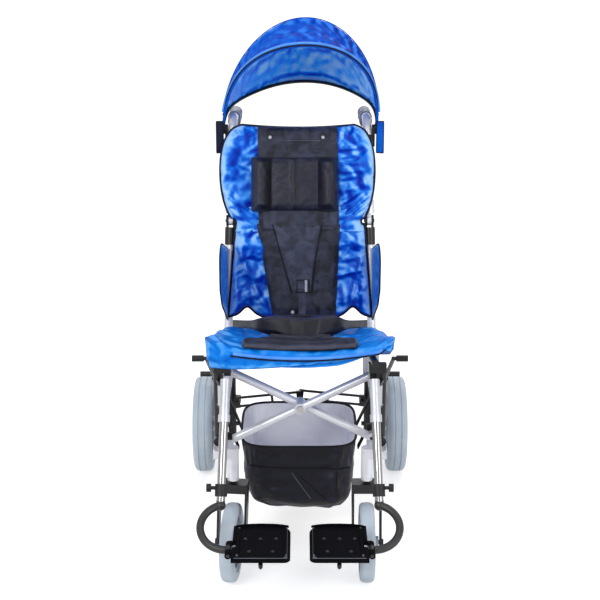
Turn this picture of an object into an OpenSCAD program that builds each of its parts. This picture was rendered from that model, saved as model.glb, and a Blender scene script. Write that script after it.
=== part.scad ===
// Special needs buggy: a cross-folding push chair with a tilted padded seat, a half-folding back,
// a tilting canopy, swing-away legrests, castering front wheels and a storage bag under the seat.
// Lengths in mm. The front is -Y, up is +Z, left is -X as seen from the front, the floor is z = 0.
// Inside the modules y counts from the front caster axle; y_shift centres the object on the origin.

/* [Tubes and gaps] */
// side frame tube radius
tube_r = 11; // [9:0.5:13]
// seat rail radius
seat_r = 9; // [8:0.5:11]
// cross arm radius
arm_r = 9.5; // [8:0.5:11]
// leg tube radius
leg_r = 9.5; // [8:0.5:10]
// foot loop tube radius
loop_r = 8.5; // [7:0.5:9]
// small pivot pin radius
pin_r = 4; // [3:0.5:5]
// gap left at welds and press fits
weld_gap = 0.1; // [0.05:0.05:0.2]
// radial running clearance of every bore
run_gap = 0.05; // [0.02:0.01:0.1]
// gap under a piece that rests on another
rest_gap = 0.3; // [0.2:0.05:0.4]
// overrun of every cut
over = 2; // [1:0.5:4]

/* [Side frame] */
// distance of the side frame from the middle
frame_x = 182; // [160:1:210]
// height of the lower rail
rail_z = 312; // [290:1:330]
// front end of the lower rail
rail_y0 = 50; // [40:1:60]
// rear end of the lower rail
rail_y1 = 648; // [630:1:670]
// radius of the socket in the rail's rear end
socket_r = 9; // [8:0.5:9.5]
// depth of that socket
socket_len = 80; // [60:5:100]
// place of the front post
post_y = 75; // [70:1:85]
// top of the front post inside the seat saddle
post_top = 478; // [470:1:480]
// place of the rear post and wheel axle
rear_y = 600; // [560:1:640]
// lower end of the rear post
rear_z0 = 96; // [80:1:110]
// height of the side rail at the front post
side_z0 = 440; // [430:1:445]
// height of the side rail at the back cane
side_z1 = 358; // [345:1:375]

/* [Back canes] */
// distance of the cane foot from the middle
cane_x0 = 181; // [175:1:185]
// how far the canopy cloth's side stands outside the top of a cane
canopy_stand = 28.5; // [24:0.5:34]
// place of the cane foot
cane_y0 = 378; // [360:1:400]
// backward lean of the cane in degrees
cane_lean = 15.5; // [10:0.5:20]
// start of the cane above the rail axis
cane_start = 5; // [3:1:8]
// height of the half-fold hinge
hinge_z = 715; // [690:1:740]
// radius of the hinge sleeves and cheeks
hinge_r = 14; // [13:0.5:16]
// radius of the hinge tongue
tongue_r = 12; // [10:0.5:13]
// half thickness of the hinge tongue
tongue_half = 5; // [4:0.5:6]
// side play of the hinge tongue
tongue_gap = 0.3; // [0.2:0.05:0.4]
// thickness of a hinge cheek
hinge_cheek_t = 5.7; // [4:0.1:7]
// half depth of a hinge cheek
hinge_cheek_half = 9; // [8:0.5:10]
// half depth of the tongue's neck
neck_half = 8; // [7:0.5:9]
// distance from the hinge axis to each sleeve
hinge_drop = 17; // [16:0.5:20]
// lower end of the lower hinge sleeve below the axis
sleeve_len = 60; // [50:1:70]
// upper end of the upper hinge ferrule above the axis
ferrule_len = 50; // [40:1:60]
// depth of the cheeks below the hinge axis
cheek_len = 30; // [25:1:35]
// solid part of the lower sleeve above the cane
sleeve_cap = 8; // [6:1:10]
// half length of the hinge pin
hinge_pin_half = 13; // [12:0.5:15]
// height where the cane starts to bend into the handle
bend_z = 922; // [915:1:930]
// bend radius of the push handle
bend_r = 45; // [40:1:50]
// turn of the push handle in degrees
bend_deg = 82.5; // [75:0.5:90]
// straight length of the push handle
handle_len = 130; // [110:1:140]
// push grip radius
grip_r = 15.5; // [14:0.5:17]
// start of the push grip along the handle
grip_s0 = 25; // [20:1:35]
// end cap of the push grip
grip_cap = 3; // [2:0.5:5]

/* [Cross brace] */
// distance of the arm pivots from the middle
pivot_x = 165; // [150:1:170]
// height of the lower arm pivots
low_z = 285; // [280:1:290]
// height of the upper arm pivots
up_z = 449; // [440:1:455]
// plane of the front arm
arm_a_y = 118; // [115:1:120]
// plane of the rear arm
arm_b_y = 142; // [140:1:145]
// end boss radius
boss_r = 12; // [11:0.5:13]
// half length of an end boss
boss_half = 10; // [9:0.5:10]
// middle boss radius
mid_boss_r = 13; // [12:0.5:14]
// half gap between the middle bosses
mid_gap = 0.1; // [0.05:0.05:0.2]
// gap beside an end boss
lug_gap = 0.5; // [0.3:0.1:1]
// thickness of a pivot lug
lug_t = 5.5; // [4:0.5:6]
// half width of a pivot lug
lug_half = 10; // [8:0.5:12]
// middle bolt head radius
bolt_head_r = 8; // [7:0.5:9]
// middle bolt head height
bolt_head_t = 6; // [4:0.5:7]

/* [Seat rails] */
// distance of the seat rails from the middle
seat_x = 165; // [160:1:166]
// front end of the seat rails
seat_y0 = 22; // [20:1:30]
// rear end of the seat rails
seat_y1 = 375; // [360:1:380]
// height of the seat rail axis at the reference place
seat_z0 = 505; // [495:1:515]
// reference place of that height
seat_ref_y = 30; // [20:1:40]
// backward tilt of the seat in degrees
seat_tilt = 14; // [10:0.5:16]
// half width of a seat bracket cheek
bracket_half = 8; // [6:0.5:8.5]
// thickness of a seat bracket cheek
bracket_t = 5; // [4:0.5:6]
// inner side of the saddles
saddle_x0 = 152; // [150:1:155]
// outer side of the saddles
saddle_x1 = 191; // [188:1:193]
// half length of the front saddle
saddle_half = 18; // [18:1:20]
// depth of the front saddle below the rail axis
saddle_deep = 24; // [22:1:26]
// top of the saddles below the rail axis
saddle_top = 2; // [1:0.5:4]
// place of the rear saddle
rear_saddle_y = 330; // [320:1:340]
// depth of the rear saddle below the rail axis
rear_saddle_deep = 55; // [50:1:58]
// half length of the rear saddle
rear_saddle_half = 10; // [8:1:12]

/* [Casters] */
// distance of the caster stems from the middle
stem_x = 150; // [145:1:155]
// place of the caster stem
stem_y = 35; // [30:1:40]
// caster stem radius
stem_r = 7; // [6:0.5:8]
// top of the caster stem
stem_top = 296; // [290:1:298]
// caster tyre radius
caster_r = 89; // [75:1:102]
// caster tyre width
caster_w = 32; // [25:1:38]
// depth of the caster tyre's rubber
caster_rubber = 23; // [16:1:26]
// caster axle radius
caster_axle_r = 5; // [4:0.5:6]
// caster hub barrel radius
caster_barrel_r = 14; // [12:0.5:18]
// half length of the caster hub barrel
caster_barrel_half = 26; // [22:0.5:27]
// half thickness of the caster web
caster_web_half = 4; // [3:0.5:6]
// radius of the holes in the caster web
caster_hole_r = 12; // [8:0.5:14]
// circle of those holes
caster_hole_pcd = 38; // [34:0.5:42]
// thickness of the caster rim
caster_rim_t = 9; // [6:0.5:12]
// half width of the caster rim
caster_rim_half = 13; // [10:0.5:15]
// number of holes in the caster web
caster_holes = 6; // [5:1:8]
// top of the fork crown
crown_z1 = 222; // [215:1:225]
// bottom of the fork crown
crown_z0 = 200; // [195:1:205]
// half width of the fork
fork_half = 33.5; // [32:0.5:36]
// half depth of the fork crown
crown_half = 18; // [14:1:20]
// thickness of a fork leg
fork_t = 5; // [4:0.5:6]
// radius of the fork end
fork_end_r = 13; // [10:0.5:15]
// axle head radius
axle_head_r = 8; // [7:0.5:9]
// axle head height
axle_head_t = 4; // [3:0.5:5]
// caster housing radius
housing_r = 13; // [12:0.5:15]
// lower end of the caster housing
housing_z0 = 228; // [225:1:232]
// top of the caster housing bracket
housing_z1 = 306; // [302:1:308]
// bottom of the caster housing bracket
bracket_z0 = 282; // [275:1:290]
// top of the stem bore
stem_bore_z1 = 297; // [297:0.5:300]
// turn of the left caster in degrees, as photographed
caster_yaw = -6; // [-10:1:10]

/* [Rear wheels] */
// distance of the rear wheels from the middle
wheel_x = 256; // [240:1:270]
// rear tyre radius
wheel_r = 127; // [115:1:152]
// rear tyre width
wheel_w = 50; // [40:1:54]
// depth of the rear tyre's rubber
wheel_rubber = 26; // [20:1:30]
// rear axle radius
axle_r = 6; // [5:0.5:8]
// inner end of the rear axle
axle_x0 = 165; // [160:1:172]
// rear hub barrel radius
wheel_barrel_r = 20; // [16:0.5:26]
// half length of the rear hub barrel
wheel_barrel_half = 24; // [20:0.5:26]
// thickness of the rear rim
wheel_rim_t = 13; // [9:0.5:18]
// half width of the rear rim
wheel_rim_half = 20; // [15:0.5:23]
// number of spokes
wheel_spokes = 5; // [3:1:8]
// half width of a spoke
spoke_half = 9; // [6:0.5:14]
// half depth of a spoke
spoke_deep = 11; // [8:0.5:16]
// side play of the rear hub
hub_gap = 0.5; // [0.3:0.1:1]
// axle spacer radius
spacer_r = 9; // [8:0.5:11]
// axle nut height
nut_t = 7.5; // [6:0.5:9]

/* [Rear stay] */
// distance of the stay pivots from the middle
stay_x = 168; // [165:1:170]
// height of the stay pivots
stay_z = 200; // [190:1:215]
// rise of a stay link in degrees
stay_rise = 5.8; // [4:0.1:8]
// half spacing of the stay bars
stay_half = 12; // [10:0.5:15]
// radius of a stay bar
stay_bar_r = 3.5; // [3:0.5:4]
// half thickness of a stay end
stay_t_half = 4; // [3:0.5:4]
// radius of a stay end
stay_end_r = 9; // [7:0.5:11]
// place of the left stay link
stay_left_y = 570; // [568:0.5:571]
// place of the right stay link
stay_right_y = 582; // [581:0.5:584]
// strut place along the link as a share
stay_strut_share = 0.44; // [0.3:0.01:0.6]
// front end of the stay pin
stay_pin_y0 = 562; // [560:0.5:564]
// front face of the stay lug
stay_lug_y0 = 590; // [588:0.5:592]
// half width of the stay lug
stay_lug_half = 10; // [8:0.5:12]

/* [Brake] */
// place of the brake pivot on the lower rail
brake_y = 455; // [440:1:470]
// brake boss radius
brake_boss_r = 12; // [11:0.5:13]
// outer face of the brake boss
brake_boss_x = 210; // [205:1:212]
// brake pin radius
brake_pin_r = 5; // [4:0.5:6]
// outer end of the brake pin
brake_pin_x = 224; // [222:0.5:226]
// inner face of the lever hub
lever_x0 = 210.5; // [210.3:0.1:211]
// outer face of the lever hub
lever_x1 = 221; // [219:0.5:222]
// lever hub radius
lever_hub_r = 12; // [10:0.5:13]
// lever rod radius
lever_r = 5; // [4:0.5:6]
// place of the lever rod across the buggy
lever_x = 216; // [215:0.5:217]
// front end of the lever
lever_y = 185; // [170:1:200]
// height of the lever's front end
lever_z = 462; // [450:1:470]
// outer end of the brake grip
brake_grip_x1 = 249; // [240:1:252]
// inner end of the brake grip
brake_grip_x0 = 222; // [221.5:0.5:226]
// brake grip radius
brake_grip_r = 7.5; // [6.5:0.5:9]
// radius of the grip's core
grip_core_r = 4.5; // [4:0.5:5]
// turn of the shoe bar forward of the wheel's top in degrees
shoe_deg = 14.3; // [12:0.1:17]
// distance of the released shoe bar from the tyre
shoe_lift = 35; // [33:0.5:40]
// shoe bar radius
shoe_r = 7; // [6:0.5:8]
// outer end of the shoe bar
shoe_x1 = 262; // [250:1:275]
// inner end of the shoe bar
shoe_x0 = 211; // [210:0.5:214]

/* [Legrest] */
// distance of the swing pin from the middle
swing_x = 172; // [170:0.5:174]
// place of the swing pin
swing_y = 50; // [48:0.5:52]
// swing pin radius
swing_r = 6; // [5:0.5:7]
// bottom of the lower swing lug
swing_z0 = 395; // [390:1:398]
// bottom of the upper swing lug
swing_z1 = 450; // [448:1:452]
// thickness of a swing lug
swing_lug_t = 6; // [5:0.5:7]
// radius of a swing lug
swing_lug_r = 9; // [8:0.5:10]
// half width of a swing lug
swing_lug_half = 8; // [7:0.5:9]
// top of the swing pin
swing_top = 460; // [457:1:462]
// swing sleeve radius
swing_sleeve_r = 10; // [9:0.5:11]
// end play of the swing sleeve
swing_play = 1; // [0.5:0.1:2]
// half thickness of the hanger gusset
gusset_half = 4; // [3:0.5:6]
// length of the hanger gusset
gusset_len = 42; // [40:1:43]
// gusset inset from the sleeve ends
gusset_inset = 3; // [2:0.5:5]
// hanger top, across
hang_x = 163; // [160:1:166]
// hanger top, along
hang_y = 30; // [26:1:32]
// hanger top, height
hang_z = 463; // [458:1:466]
// leg tube lower end, across
leg_x = 171; // [167:1:175]
// leg tube lower end, along
leg_y = -92; // [-100:1:-85]
// leg tube lower end, height
leg_z = 226; // [215:1:235]
// solid cap above the hanger's bore
hang_cap = 6; // [4:0.5:8]
// collar radius
collar_r = 13; // [12.5:0.5:15]
// collar length
collar_len = 16; // [12:1:20]
// share of the leg line where the hanger ends
hanger_share = 0.329; // [0.3:0.001:0.35]
// share of the leg line where the leg tube starts
insert_share = 0.235; // [0.22:0.001:0.25]
// shares of the leg line that the clamp covers
clamp_shares = [0.83, 0.93];
// share of the leg line where the knob is
knob_share = 0.86; // [0.84:0.01:0.92]
// leg clamp radius
clamp_r = 13.5; // [13:0.5:15]
// knob radius
knob_r = 9; // [7:0.5:11]
// knob reach from the leg axis
knob_len = 32; // [26:1:36]
// knob head height
knob_head = 10; // [8:0.5:12]
// knob shank radius
shank_r = 4; // [3:0.5:5]
// foot loop bend radius
loop_bend = 56; // [50:1:60]
// foot loop start angle in degrees
loop_start = 15.5; // [12:0.5:20]
// downward slope of the foot loop in degrees
loop_slope = 30.6; // [25:0.1:35]

/* [Footplate] */
// distance of the footplate hinge from the middle
plate_hinge_x = 150; // [147:0.5:151]
// half length of the middle knuckle
knuckle_half = 9.3; // [9:0.1:9.5]
// middle knuckle radius
knuckle_r = 6.9; // [6.5:0.1:7]
// footplate knuckle radius
plate_knuckle_r = 7; // [6.5:0.1:7.5]
// length of a footplate knuckle
plate_knuckle_len = 18; // [15:1:20]
// gap between knuckles
knuckle_gap = 0.5; // [0.3:0.1:1]
// inner edge of the footplate
plate_x0 = 20; // [15:1:25]
// outer edge of the footplate
plate_x1 = 142; // [138:1:142]
// heel edge of the footplate
plate_y1 = -105; // [-108:1:-104]
// toe edge of the footplate
plate_y0 = -250; // [-260:1:-240]
// bottom of the footplate above the hinge axis
plate_low = 4; // [4:0.5:6]
// footplate thickness
plate_t = 10; // [8:0.5:12]
// footplate corner radius
plate_corner = 14; // [8:1:20]
// heel corner radius on the inner side
heel_corner = 34; // [20:1:45]
// depth of the notch beside the loop
notch_deep = 8; // [6:1:12]
// half length of that notch
notch_half = 13; // [12:0.5:14]
// width of a tread rib
tread_w = 5; // [3:0.5:8]
// height of a tread rib
tread_h = 3; // [2:0.5:4]
// shares of the plate width where the ribs stand
tread_shares = [0.08, 0.9];
// radius of the nub under the plate
nub_r = 5; // [4:0.5:6]
// depth of the nub
nub_h = 9; // [6:0.5:10]
// share of the plate width where the nub hangs
nub_share = 0.48; // [0.3:0.01:0.7]
// toe lip height above the plate
lip_h = 3; // [1:0.5:4]
// toe lip thickness
lip_t = 5; // [3:0.5:8]

/* [Canopy] */
// height of the canopy pivot
canopy_z = 935; // [930:1:940]
// half length of the canopy cover
canopy_half = 194.5; // [190:0.5:200]
// radius of the canopy cover
canopy_r = 268.75; // [260:0.25:280]
// cover thickness
canopy_t = 1.5; // [1.2:0.1:2.5]
// distance of the cover edge from the pivot
canopy_foot = 46; // [40:1:60]
// forward reach of the cover in degrees
canopy_front = 35; // [25:1:45]
// place of the ridge bow in degrees
canopy_ridge = 4; // [0:1:10]
// backward reach at the middle in degrees
canopy_rear = 72; // [60:1:75]
// backward reach beside the pivots in degrees
canopy_rear_side = 40; // [35:1:55]
// sag of the cover between the bows
canopy_sag = 7; // [3:0.5:12]
// sideways lean of the cloth's top, as photographed
canopy_lean = 14; // [0:1:20]
// bow rod radius
bow_r = 3.5; // [3:0.5:4]
// distance of a bow's end from the pivot
bow_foot = 9; // [7:1:11]
// hub disc radius
disc_r = 15; // [13:0.5:17]
// depth of the hub disc's inner face inside the bow's end
disc_inset = 4; // [3.5:0.1:4.5]
// hub disc thickness
disc_t = 5; // [4:0.5:6]
// distance of the clamp boss's inner face from the cane line
clamp_reach = 11.6; // [11.5:0.1:12]
// side play of the hub disc on the clamp boss
disc_play = 0.4; // [0.3:0.1:0.6]
// clamp boss radius
clamp_boss_r = 9; // [8:0.5:10]
// lower end of the clamp sleeve
clamp_z0 = 880; // [870:1:890]
// upper end of the clamp sleeve
clamp_z1 = 918; // [910:1:922]
// height of the clamp lug below the pivot
clamp_lug = 45; // [35:1:50]
// head radius of the canopy pin
canopy_head_r = 8; // [7:0.5:9]
// head height of the canopy pin
canopy_head_t = 5; // [4:0.5:7]

/* [Seat cushion] */
// front face of the cushion
cush_y0 = 12; // [10:1:16]
// rear end of the cushion
cush_y1 = 385; // [375:1:388]
// greatest half width of the cushion
cush_half = 207; // [200:1:210]
// height of the cushion's sides at the reference place
cush_z = 566; // [555:1:572]
// sag of the seat between its sides
cush_sag = 24; // [15:1:32]
// rounding of the cushion's edges
cush_roll = 16; // [10:1:22]
// thickness of the front fascia
fascia_t = 7; // [5:0.5:8]
// lowest edge of the front fascia
fascia_z = 498; // [490:1:505]
// rise of the fascia towards its right end
fascia_rise = 43; // [0:1:50]
// sag of the cushion's underside
under_sag = 18; // [10:1:22]
// length over which the lifted corner comes down
corner_len = 130; // [100:5:160]
// front end of the seat insert
pad_y0 = 39; // [39:1:80]
// rear end of the seat insert
pad_y1 = 355; // [345:1:355]
// half width of the seat insert
pad_half = 126; // [110:1:135]
// thickness of the seat insert
pad_t = 8; // [6:0.5:10]
// half length of the lap belt
belt_half = 152; // [140:1:160]
// place of the lap belt's ends
belt_y1 = 352; // [345:1:358]
// place of the lap belt's middle
belt_y0 = 296; // [285:1:305]
// width of the belt strap
belt_w = 38; // [30:1:45]
// extra width of the belt pad
belt_pad_w = 20; // [10:1:26]
// thickness of the belt strap
belt_t = 4; // [3:0.5:5]
// extra thickness of the belt pad
belt_pad_t = 13; // [8:1:16]
// rise of the belt pad's rear edge
belt_rise = 16; // [0:1:24]

/* [Back cover] */
// half width of the lower back at the hinge
low_half0 = 158; // [150:1:162]
// half width of the lower back at its hem
low_half1 = 176; // [170:0.5:176]
// lower hem of the back below the hinge axis
low_len = 240; // [225:1:245]
// top of the lower back below the hinge axis
low_top = 9; // [6:1:12]
// length over which the lower back steps over the hinge sleeves
sleeve_step = 18; // [10:1:30]
// height of the hem arches
hem_arch = 28; // [15:1:35]
// greatest half width of the upper back
high_half = 195; // [185:1:198]
// bottom of the upper back above the hinge axis
high_low = 2; // [1:0.5:5]
// top corners of the upper back above the hinge axis
high_top = 233; // [225:1:238]
// dip of the top edge in the middle
high_dip = 7; // [0:0.5:12]
// padding of the back covers
back_t = 20; // [14:1:24]
// extra thickness of the centre strip
strip_t = 5; // [3:0.5:7]
// half width of the centre strip at the top
strip_half = 92; // [80:1:100]
// half width of the centre strip at the seat
strip_half_low = 78; // [70:1:90]
// edge thickness of the back covers
back_edge = 5; // [3:0.5:8]
// left end of the headrest
head_x0 = -119; // [-125:1:-100]
// right end of the headrest
head_x1 = 93; // [85:1:120]
// bottom of the headrest above the hinge axis
head_z0 = 22; // [15:1:40]
// top of the headrest above the hinge axis
head_z1 = 152; // [140:1:165]
// thickness of the headrest's middle
head_t = 16; // [10:1:22]
// extra thickness of the side rolls
head_roll = 26; // [15:1:32]

/* [Side panel] */
// inner face of the side panel
panel_x0 = 176.5; // [176:0.1:178]
// thickness of the side panel
panel_t = 7; // [5:0.5:9]
// crown of the side panel
panel_crown = 2; // [1:0.5:3]
// front edge of the side panel
panel_y0 = 172; // [160:1:190]
// lower front corner height
panel_front_z0 = 590; // [570:1:600]
// upper front corner height
panel_front_z1 = 735; // [720:1:755]
// lower rear corner height
panel_rear_z0 = 482; // [475:1:495]
// upper rear corner height
panel_rear_z1 = 650; // [630:1:655]
// rounding of the panel's corners
panel_round = 22; // [10:1:30]

/* [Storage bag] */
// half width of the bag
bag_half = 134; // [125:1:140]
// front of the bag
bag_y0 = 170; // [167:1:180]
// rear of the bag
bag_y1 = 398; // [380:1:410]
// front rim height
bag_z1 = 246; // [240:1:252]
// rise of the rim to the rear
bag_rise = 24; // [15:1:35]
// height of the bag's bottom
bag_z0 = 80; // [70:1:110]
// extra depth of the bag's middle
bag_sag = 12; // [5:1:18]
// cloth thickness of the bag
bag_t = 4; // [2.5:0.5:5]
// half width of a bag strap
bag_strap_half = 11; // [8:0.5:14]
// thickness of a bag strap
bag_strap_t = 3; // [2:0.5:4]
// places of the bag straps as shares of the bag's length
bag_strap_shares = [0.22, 0.78];

/* [Hidden] */
quarter = 90;
half_turn = 180;
full_turn = 360;
round_fn = 48;
ring_n = 6;
silver_c = [0.80, 0.80, 0.84];
chrome_c = [0.72, 0.72, 0.74];
black_c = [0.06, 0.06, 0.07];
blue_c = [0.05, 0.22, 0.80];
cloth_c = [0.09, 0.09, 0.12];
tyre_c = [0.62, 0.68, 0.74];
hub_c = [0.70, 0.74, 0.78];

// seat and inside of each rim, from its tyre
wheel_rim_r = wheel_r - wheel_rubber;
wheel_rim_in = wheel_rim_r - wheel_rim_t;
caster_rim_r = caster_r - caster_rubber;
caster_rim_in = caster_rim_r - caster_rim_t;
// the brake's shoe bar stands off the tyre
shoe_y = rear_y - (wheel_r + shoe_lift) * sin(shoe_deg);
shoe_z = wheel_r + (wheel_r + shoe_lift) * cos(shoe_deg);
// the canes' tops stand inside the canopy, and each clamp boss outside its cane
cane_x1 = canopy_half - canopy_stand;
clamp_x0 = cane_x1 + clamp_reach;
// how far a bow lies inside the canopy cloth, and the hub disc and clamp boss that follow from it
bow_drop = canopy_t + rest_gap + bow_r;
disc_x0 = canopy_half - bow_drop - disc_inset;
clamp_x1 = disc_x0 - disc_play;
// y of the canopy pivot on the cane line
canopy_y = cane_y0 + tan(cane_lean) * (canopy_z - rail_z);
// centres the object between the toe edge and the canopy's rear hem
y_shift = -(plate_y0 + canopy_y + canopy_r * sin(canopy_rear)) / 2;
mid_y = (arm_a_y + arm_b_y) / 2;
mid_z = (low_z + up_z) / 2;
stem = [-stem_x, stem_y, 0];

function cane_at(z) = [cane_x0 + (cane_x1 - cane_x0) * (z - rail_z) / (canopy_z - rail_z),
    cane_y0 + tan(cane_lean) * (z - rail_z), z];
// point of the cane line at a signed distance from the hinge axis
function cane_s(s) = cane_at(hinge_z + s * cos(cane_lean));
function seat_axis(y) = seat_z0 - tan(seat_tilt) * (y - seat_ref_y);
function rail_top(y) = seat_axis(y) + seat_r / cos(seat_tilt) + rest_gap;
hang_point = [hang_x, hang_y, hang_z];
leg_point = [leg_x, leg_y, leg_z];
function leg_at(t) = hang_point + t * (leg_point - hang_point);
function clip(v) = min(1, max(0, v));
function ease(v) = clip(v) * clip(v) * (3 - 2 * clip(v));
function signed_pow(v, p) = sign(v) * pow(abs(v), p);
hinge_at = cane_at(hinge_z);
cane_slope = atan((cane_x0 - cane_x1) / (canopy_z - rail_z));
cane_pitch = atan(tan(cane_lean) * cos(cane_slope));
loop_mid = [leg_x - loop_bend * sin(loop_start),
    leg_y - loop_bend * cos(loop_start) * cos(loop_slope),
    leg_z - loop_bend * cos(loop_start) * sin(loop_slope)];
knuckle_y = loop_mid[1] - loop_bend * cos(loop_slope);
knuckle_z = loop_mid[2] - loop_bend * sin(loop_slope);

module placed() translate([0, y_shift, 0]) children();
module on_left() mirror([1, 0, 0]) children();

// round bar between two points
module bar(p, q, r) {
    v = q - p;
    span = norm(v);
    translate(p) rotate([0, acos(v[2] / span), atan2(v[1], v[0])])
        cylinder(h = span, r = r, $fn = round_fn);
}
module bar_x(x0, x1, y, z, r) translate([x0, y, z]) rotate([0, quarter, 0])
    cylinder(h = x1 - x0, r = r, $fn = round_fn);
module bar_y(y0, y1, x, z, r) translate([x, y0, z]) rotate([-quarter, 0, 0])
    cylinder(h = y1 - y0, r = r, $fn = round_fn);
module bar_z(z0, z1, x, y, r) translate([x, y, z0]) cylinder(h = z1 - z0, r = r, $fn = round_fn);
module box(lo, hi) translate(lo) cube(hi - lo);
// outline in Y and Z pulled along X
module along_x(x0, x1) translate([x0, 0, 0]) rotate([quarter, 0, quarter])
    linear_extrude(height = x1 - x0) children();

// closed shell between two grids of points with nu by nv cells
module grid_shell(f, b, nu, nv) {
    m = nu + 1;
    n = m * (nv + 1);
    polyhedron(points = concat(f, b), faces = concat(
        [for (j = [0:nv - 1], i = [0:nu - 1]) [j * m + i, (j + 1) * m + i, (j + 1) * m + i + 1]],
        [for (j = [0:nv - 1], i = [0:nu - 1]) [j * m + i, (j + 1) * m + i + 1, j * m + i + 1]],
        [for (j = [0:nv - 1], i = [0:nu - 1]) [n + j * m + i, n + (j + 1) * m + i + 1, n + (j + 1) * m + i]],
        [for (j = [0:nv - 1], i = [0:nu - 1]) [n + j * m + i, n + j * m + i + 1, n + (j + 1) * m + i + 1]],
        [for (j = [0:nv - 1]) [n + j * m, n + (j + 1) * m, (j + 1) * m]],
        [for (j = [0:nv - 1]) [n + j * m, (j + 1) * m, j * m]],
        [for (j = [0:nv - 1]) [j * m + nu, (j + 1) * m + nu, n + (j + 1) * m + nu]],
        [for (j = [0:nv - 1]) [j * m + nu, n + (j + 1) * m + nu, n + j * m + nu]],
        [for (i = [0:nu - 1]) [n + i, i, i + 1]],
        [for (i = [0:nu - 1]) [n + i, i + 1, n + i + 1]],
        [for (i = [0:nu - 1]) [nv * m + i, n + nv * m + i, n + nv * m + i + 1]],
        [for (i = [0:nu - 1]) [nv * m + i, n + nv * m + i + 1, nv * m + i + 1]]));
}
// closed tube through rings of points that turn anticlockwise about the way they follow
module ring_sweep(rings) {
    n = len(rings[0]);
    last = len(rings) - 1;
    polyhedron(points = concat([for (ring = rings, p = ring) p],
            [[for (k = [0:2]) sum_of(rings[0], k) / n], [for (k = [0:2]) sum_of(rings[last], k) / n]]),
        faces = concat(
            [for (k = [0:last - 1], i = [0:n - 1]) [k * n + i, (k + 1) * n + i, (k + 1) * n + (i + 1) % n]],
            [for (k = [0:last - 1], i = [0:n - 1]) [k * n + i, (k + 1) * n + (i + 1) % n, k * n + (i + 1) % n]],
            [for (i = [0:n - 1]) [(last + 1) * n, i, (i + 1) % n]],
            [for (i = [0:n - 1]) [(last + 1) * n + 1, last * n + (i + 1) % n, last * n + i]]));
}
function sum_of(ring, k, i = 0) = i == len(ring) ? 0 : ring[i][k] + sum_of(ring, k, i + 1);

// side frame pieces, drawn for the right side

module lower_rail(arm_y, s) {
    near = arm_y + s * (boss_half + lug_gap);
    far = near + s * lug_t;
    tip = arm_y - s * (boss_half + lug_gap);
    difference() {
        union() {
            bar_y(rail_y0, rail_y1, frame_x, rail_z, tube_r);
            box([pivot_x - lug_half, min(near, far), low_z - lug_half], [frame_x, max(near, far), rail_z]);
            bar_y(min(tip, far), max(tip, far), pivot_x, low_z, pin_r);
            bar_x(frame_x, brake_boss_x, brake_y, rail_z, brake_boss_r);
            bar_x(frame_x, brake_pin_x, brake_y, rail_z, brake_pin_r);
        }
        bar_y(rail_y1 - socket_len, rail_y1 + over, frame_x, rail_z, socket_r);
    }
}
module rail_cut() bar_y(rail_y0 - socket_len, rail_y1 + over, frame_x, rail_z, tube_r + weld_gap);
module seat_frame(y) translate([seat_x, y, seat_axis(y)]) rotate([-seat_tilt, 0, 0]) children();
module saddle_block(half, deep)
    box([saddle_x0 - seat_x, -half, -deep], [saddle_x1 - seat_x, half, -saddle_top]);
module saddle_groove(half) bar_y(-half - over, half + over, 0, 0, seat_r + rest_gap);
module swing_lug(z) {
    reach = norm([frame_x - swing_x, post_y - swing_y]);
    turn = atan2(post_y - swing_y, frame_x - swing_x);
    bar_z(z, z + swing_lug_t, swing_x, swing_y, swing_lug_r);
    translate([swing_x, swing_y, z]) rotate([0, 0, turn])
        box([0, -swing_lug_half, weld_gap], [reach, swing_lug_half, swing_lug_t - weld_gap]);
}
module front_post() {
    difference() {
        union() {
            bar_z(rail_z, post_top, frame_x, post_y, tube_r);
            swing_lug(swing_z0);
            swing_lug(swing_z1);
            bar_z(swing_z0, swing_top, swing_x, swing_y, swing_r);
            seat_frame(post_y) saddle_block(saddle_half, saddle_deep);
        }
        rail_cut();
        seat_frame(post_y) saddle_groove(saddle_half);
    }
}
module rear_post() {
    difference() {
        union() {
            bar_z(rear_z0, rail_z, frame_x, rear_y, tube_r);
            bar_x(axle_x0, wheel_x + wheel_barrel_half + hub_gap + nut_t, rear_y, wheel_r, axle_r);
            bar_x(frame_x, wheel_x - wheel_barrel_half - hub_gap, rear_y, wheel_r, spacer_r);
            bar_x(wheel_x + wheel_barrel_half + hub_gap, wheel_x + wheel_barrel_half + hub_gap + nut_t,
                rear_y, wheel_r, spacer_r);
            box([stay_x - stay_lug_half, stay_lug_y0, stay_z - stay_lug_half],
                [frame_x, rear_y, stay_z + stay_lug_half]);
            bar_y(stay_pin_y0, stay_lug_y0 + over, stay_x, stay_z, pin_r);
        }
        rail_cut();
    }
}
module cane_cut() bar(cane_at(rail_z), cane_at(hinge_z - sleeve_len), tube_r + weld_gap);
module side_rail() {
    difference() {
        union() {
            bar([frame_x, post_y, side_z0], cane_at(side_z1), tube_r);
            seat_frame(rear_saddle_y) saddle_block(rear_saddle_half, rear_saddle_deep);
        }
        bar_z(rail_z, post_top, frame_x, post_y, tube_r + weld_gap);
        cane_cut();
        seat_frame(rear_saddle_y) saddle_groove(rear_saddle_half);
    }
}
module lower_cane() {
    difference() {
        bar(cane_at(rail_z + cane_start), cane_s(-hinge_drop - sleeve_cap), tube_r);
        rail_cut();
    }
}
module hinge_frame() translate(hinge_at) rotate([-cane_lean, 0, 0]) children();
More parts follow.
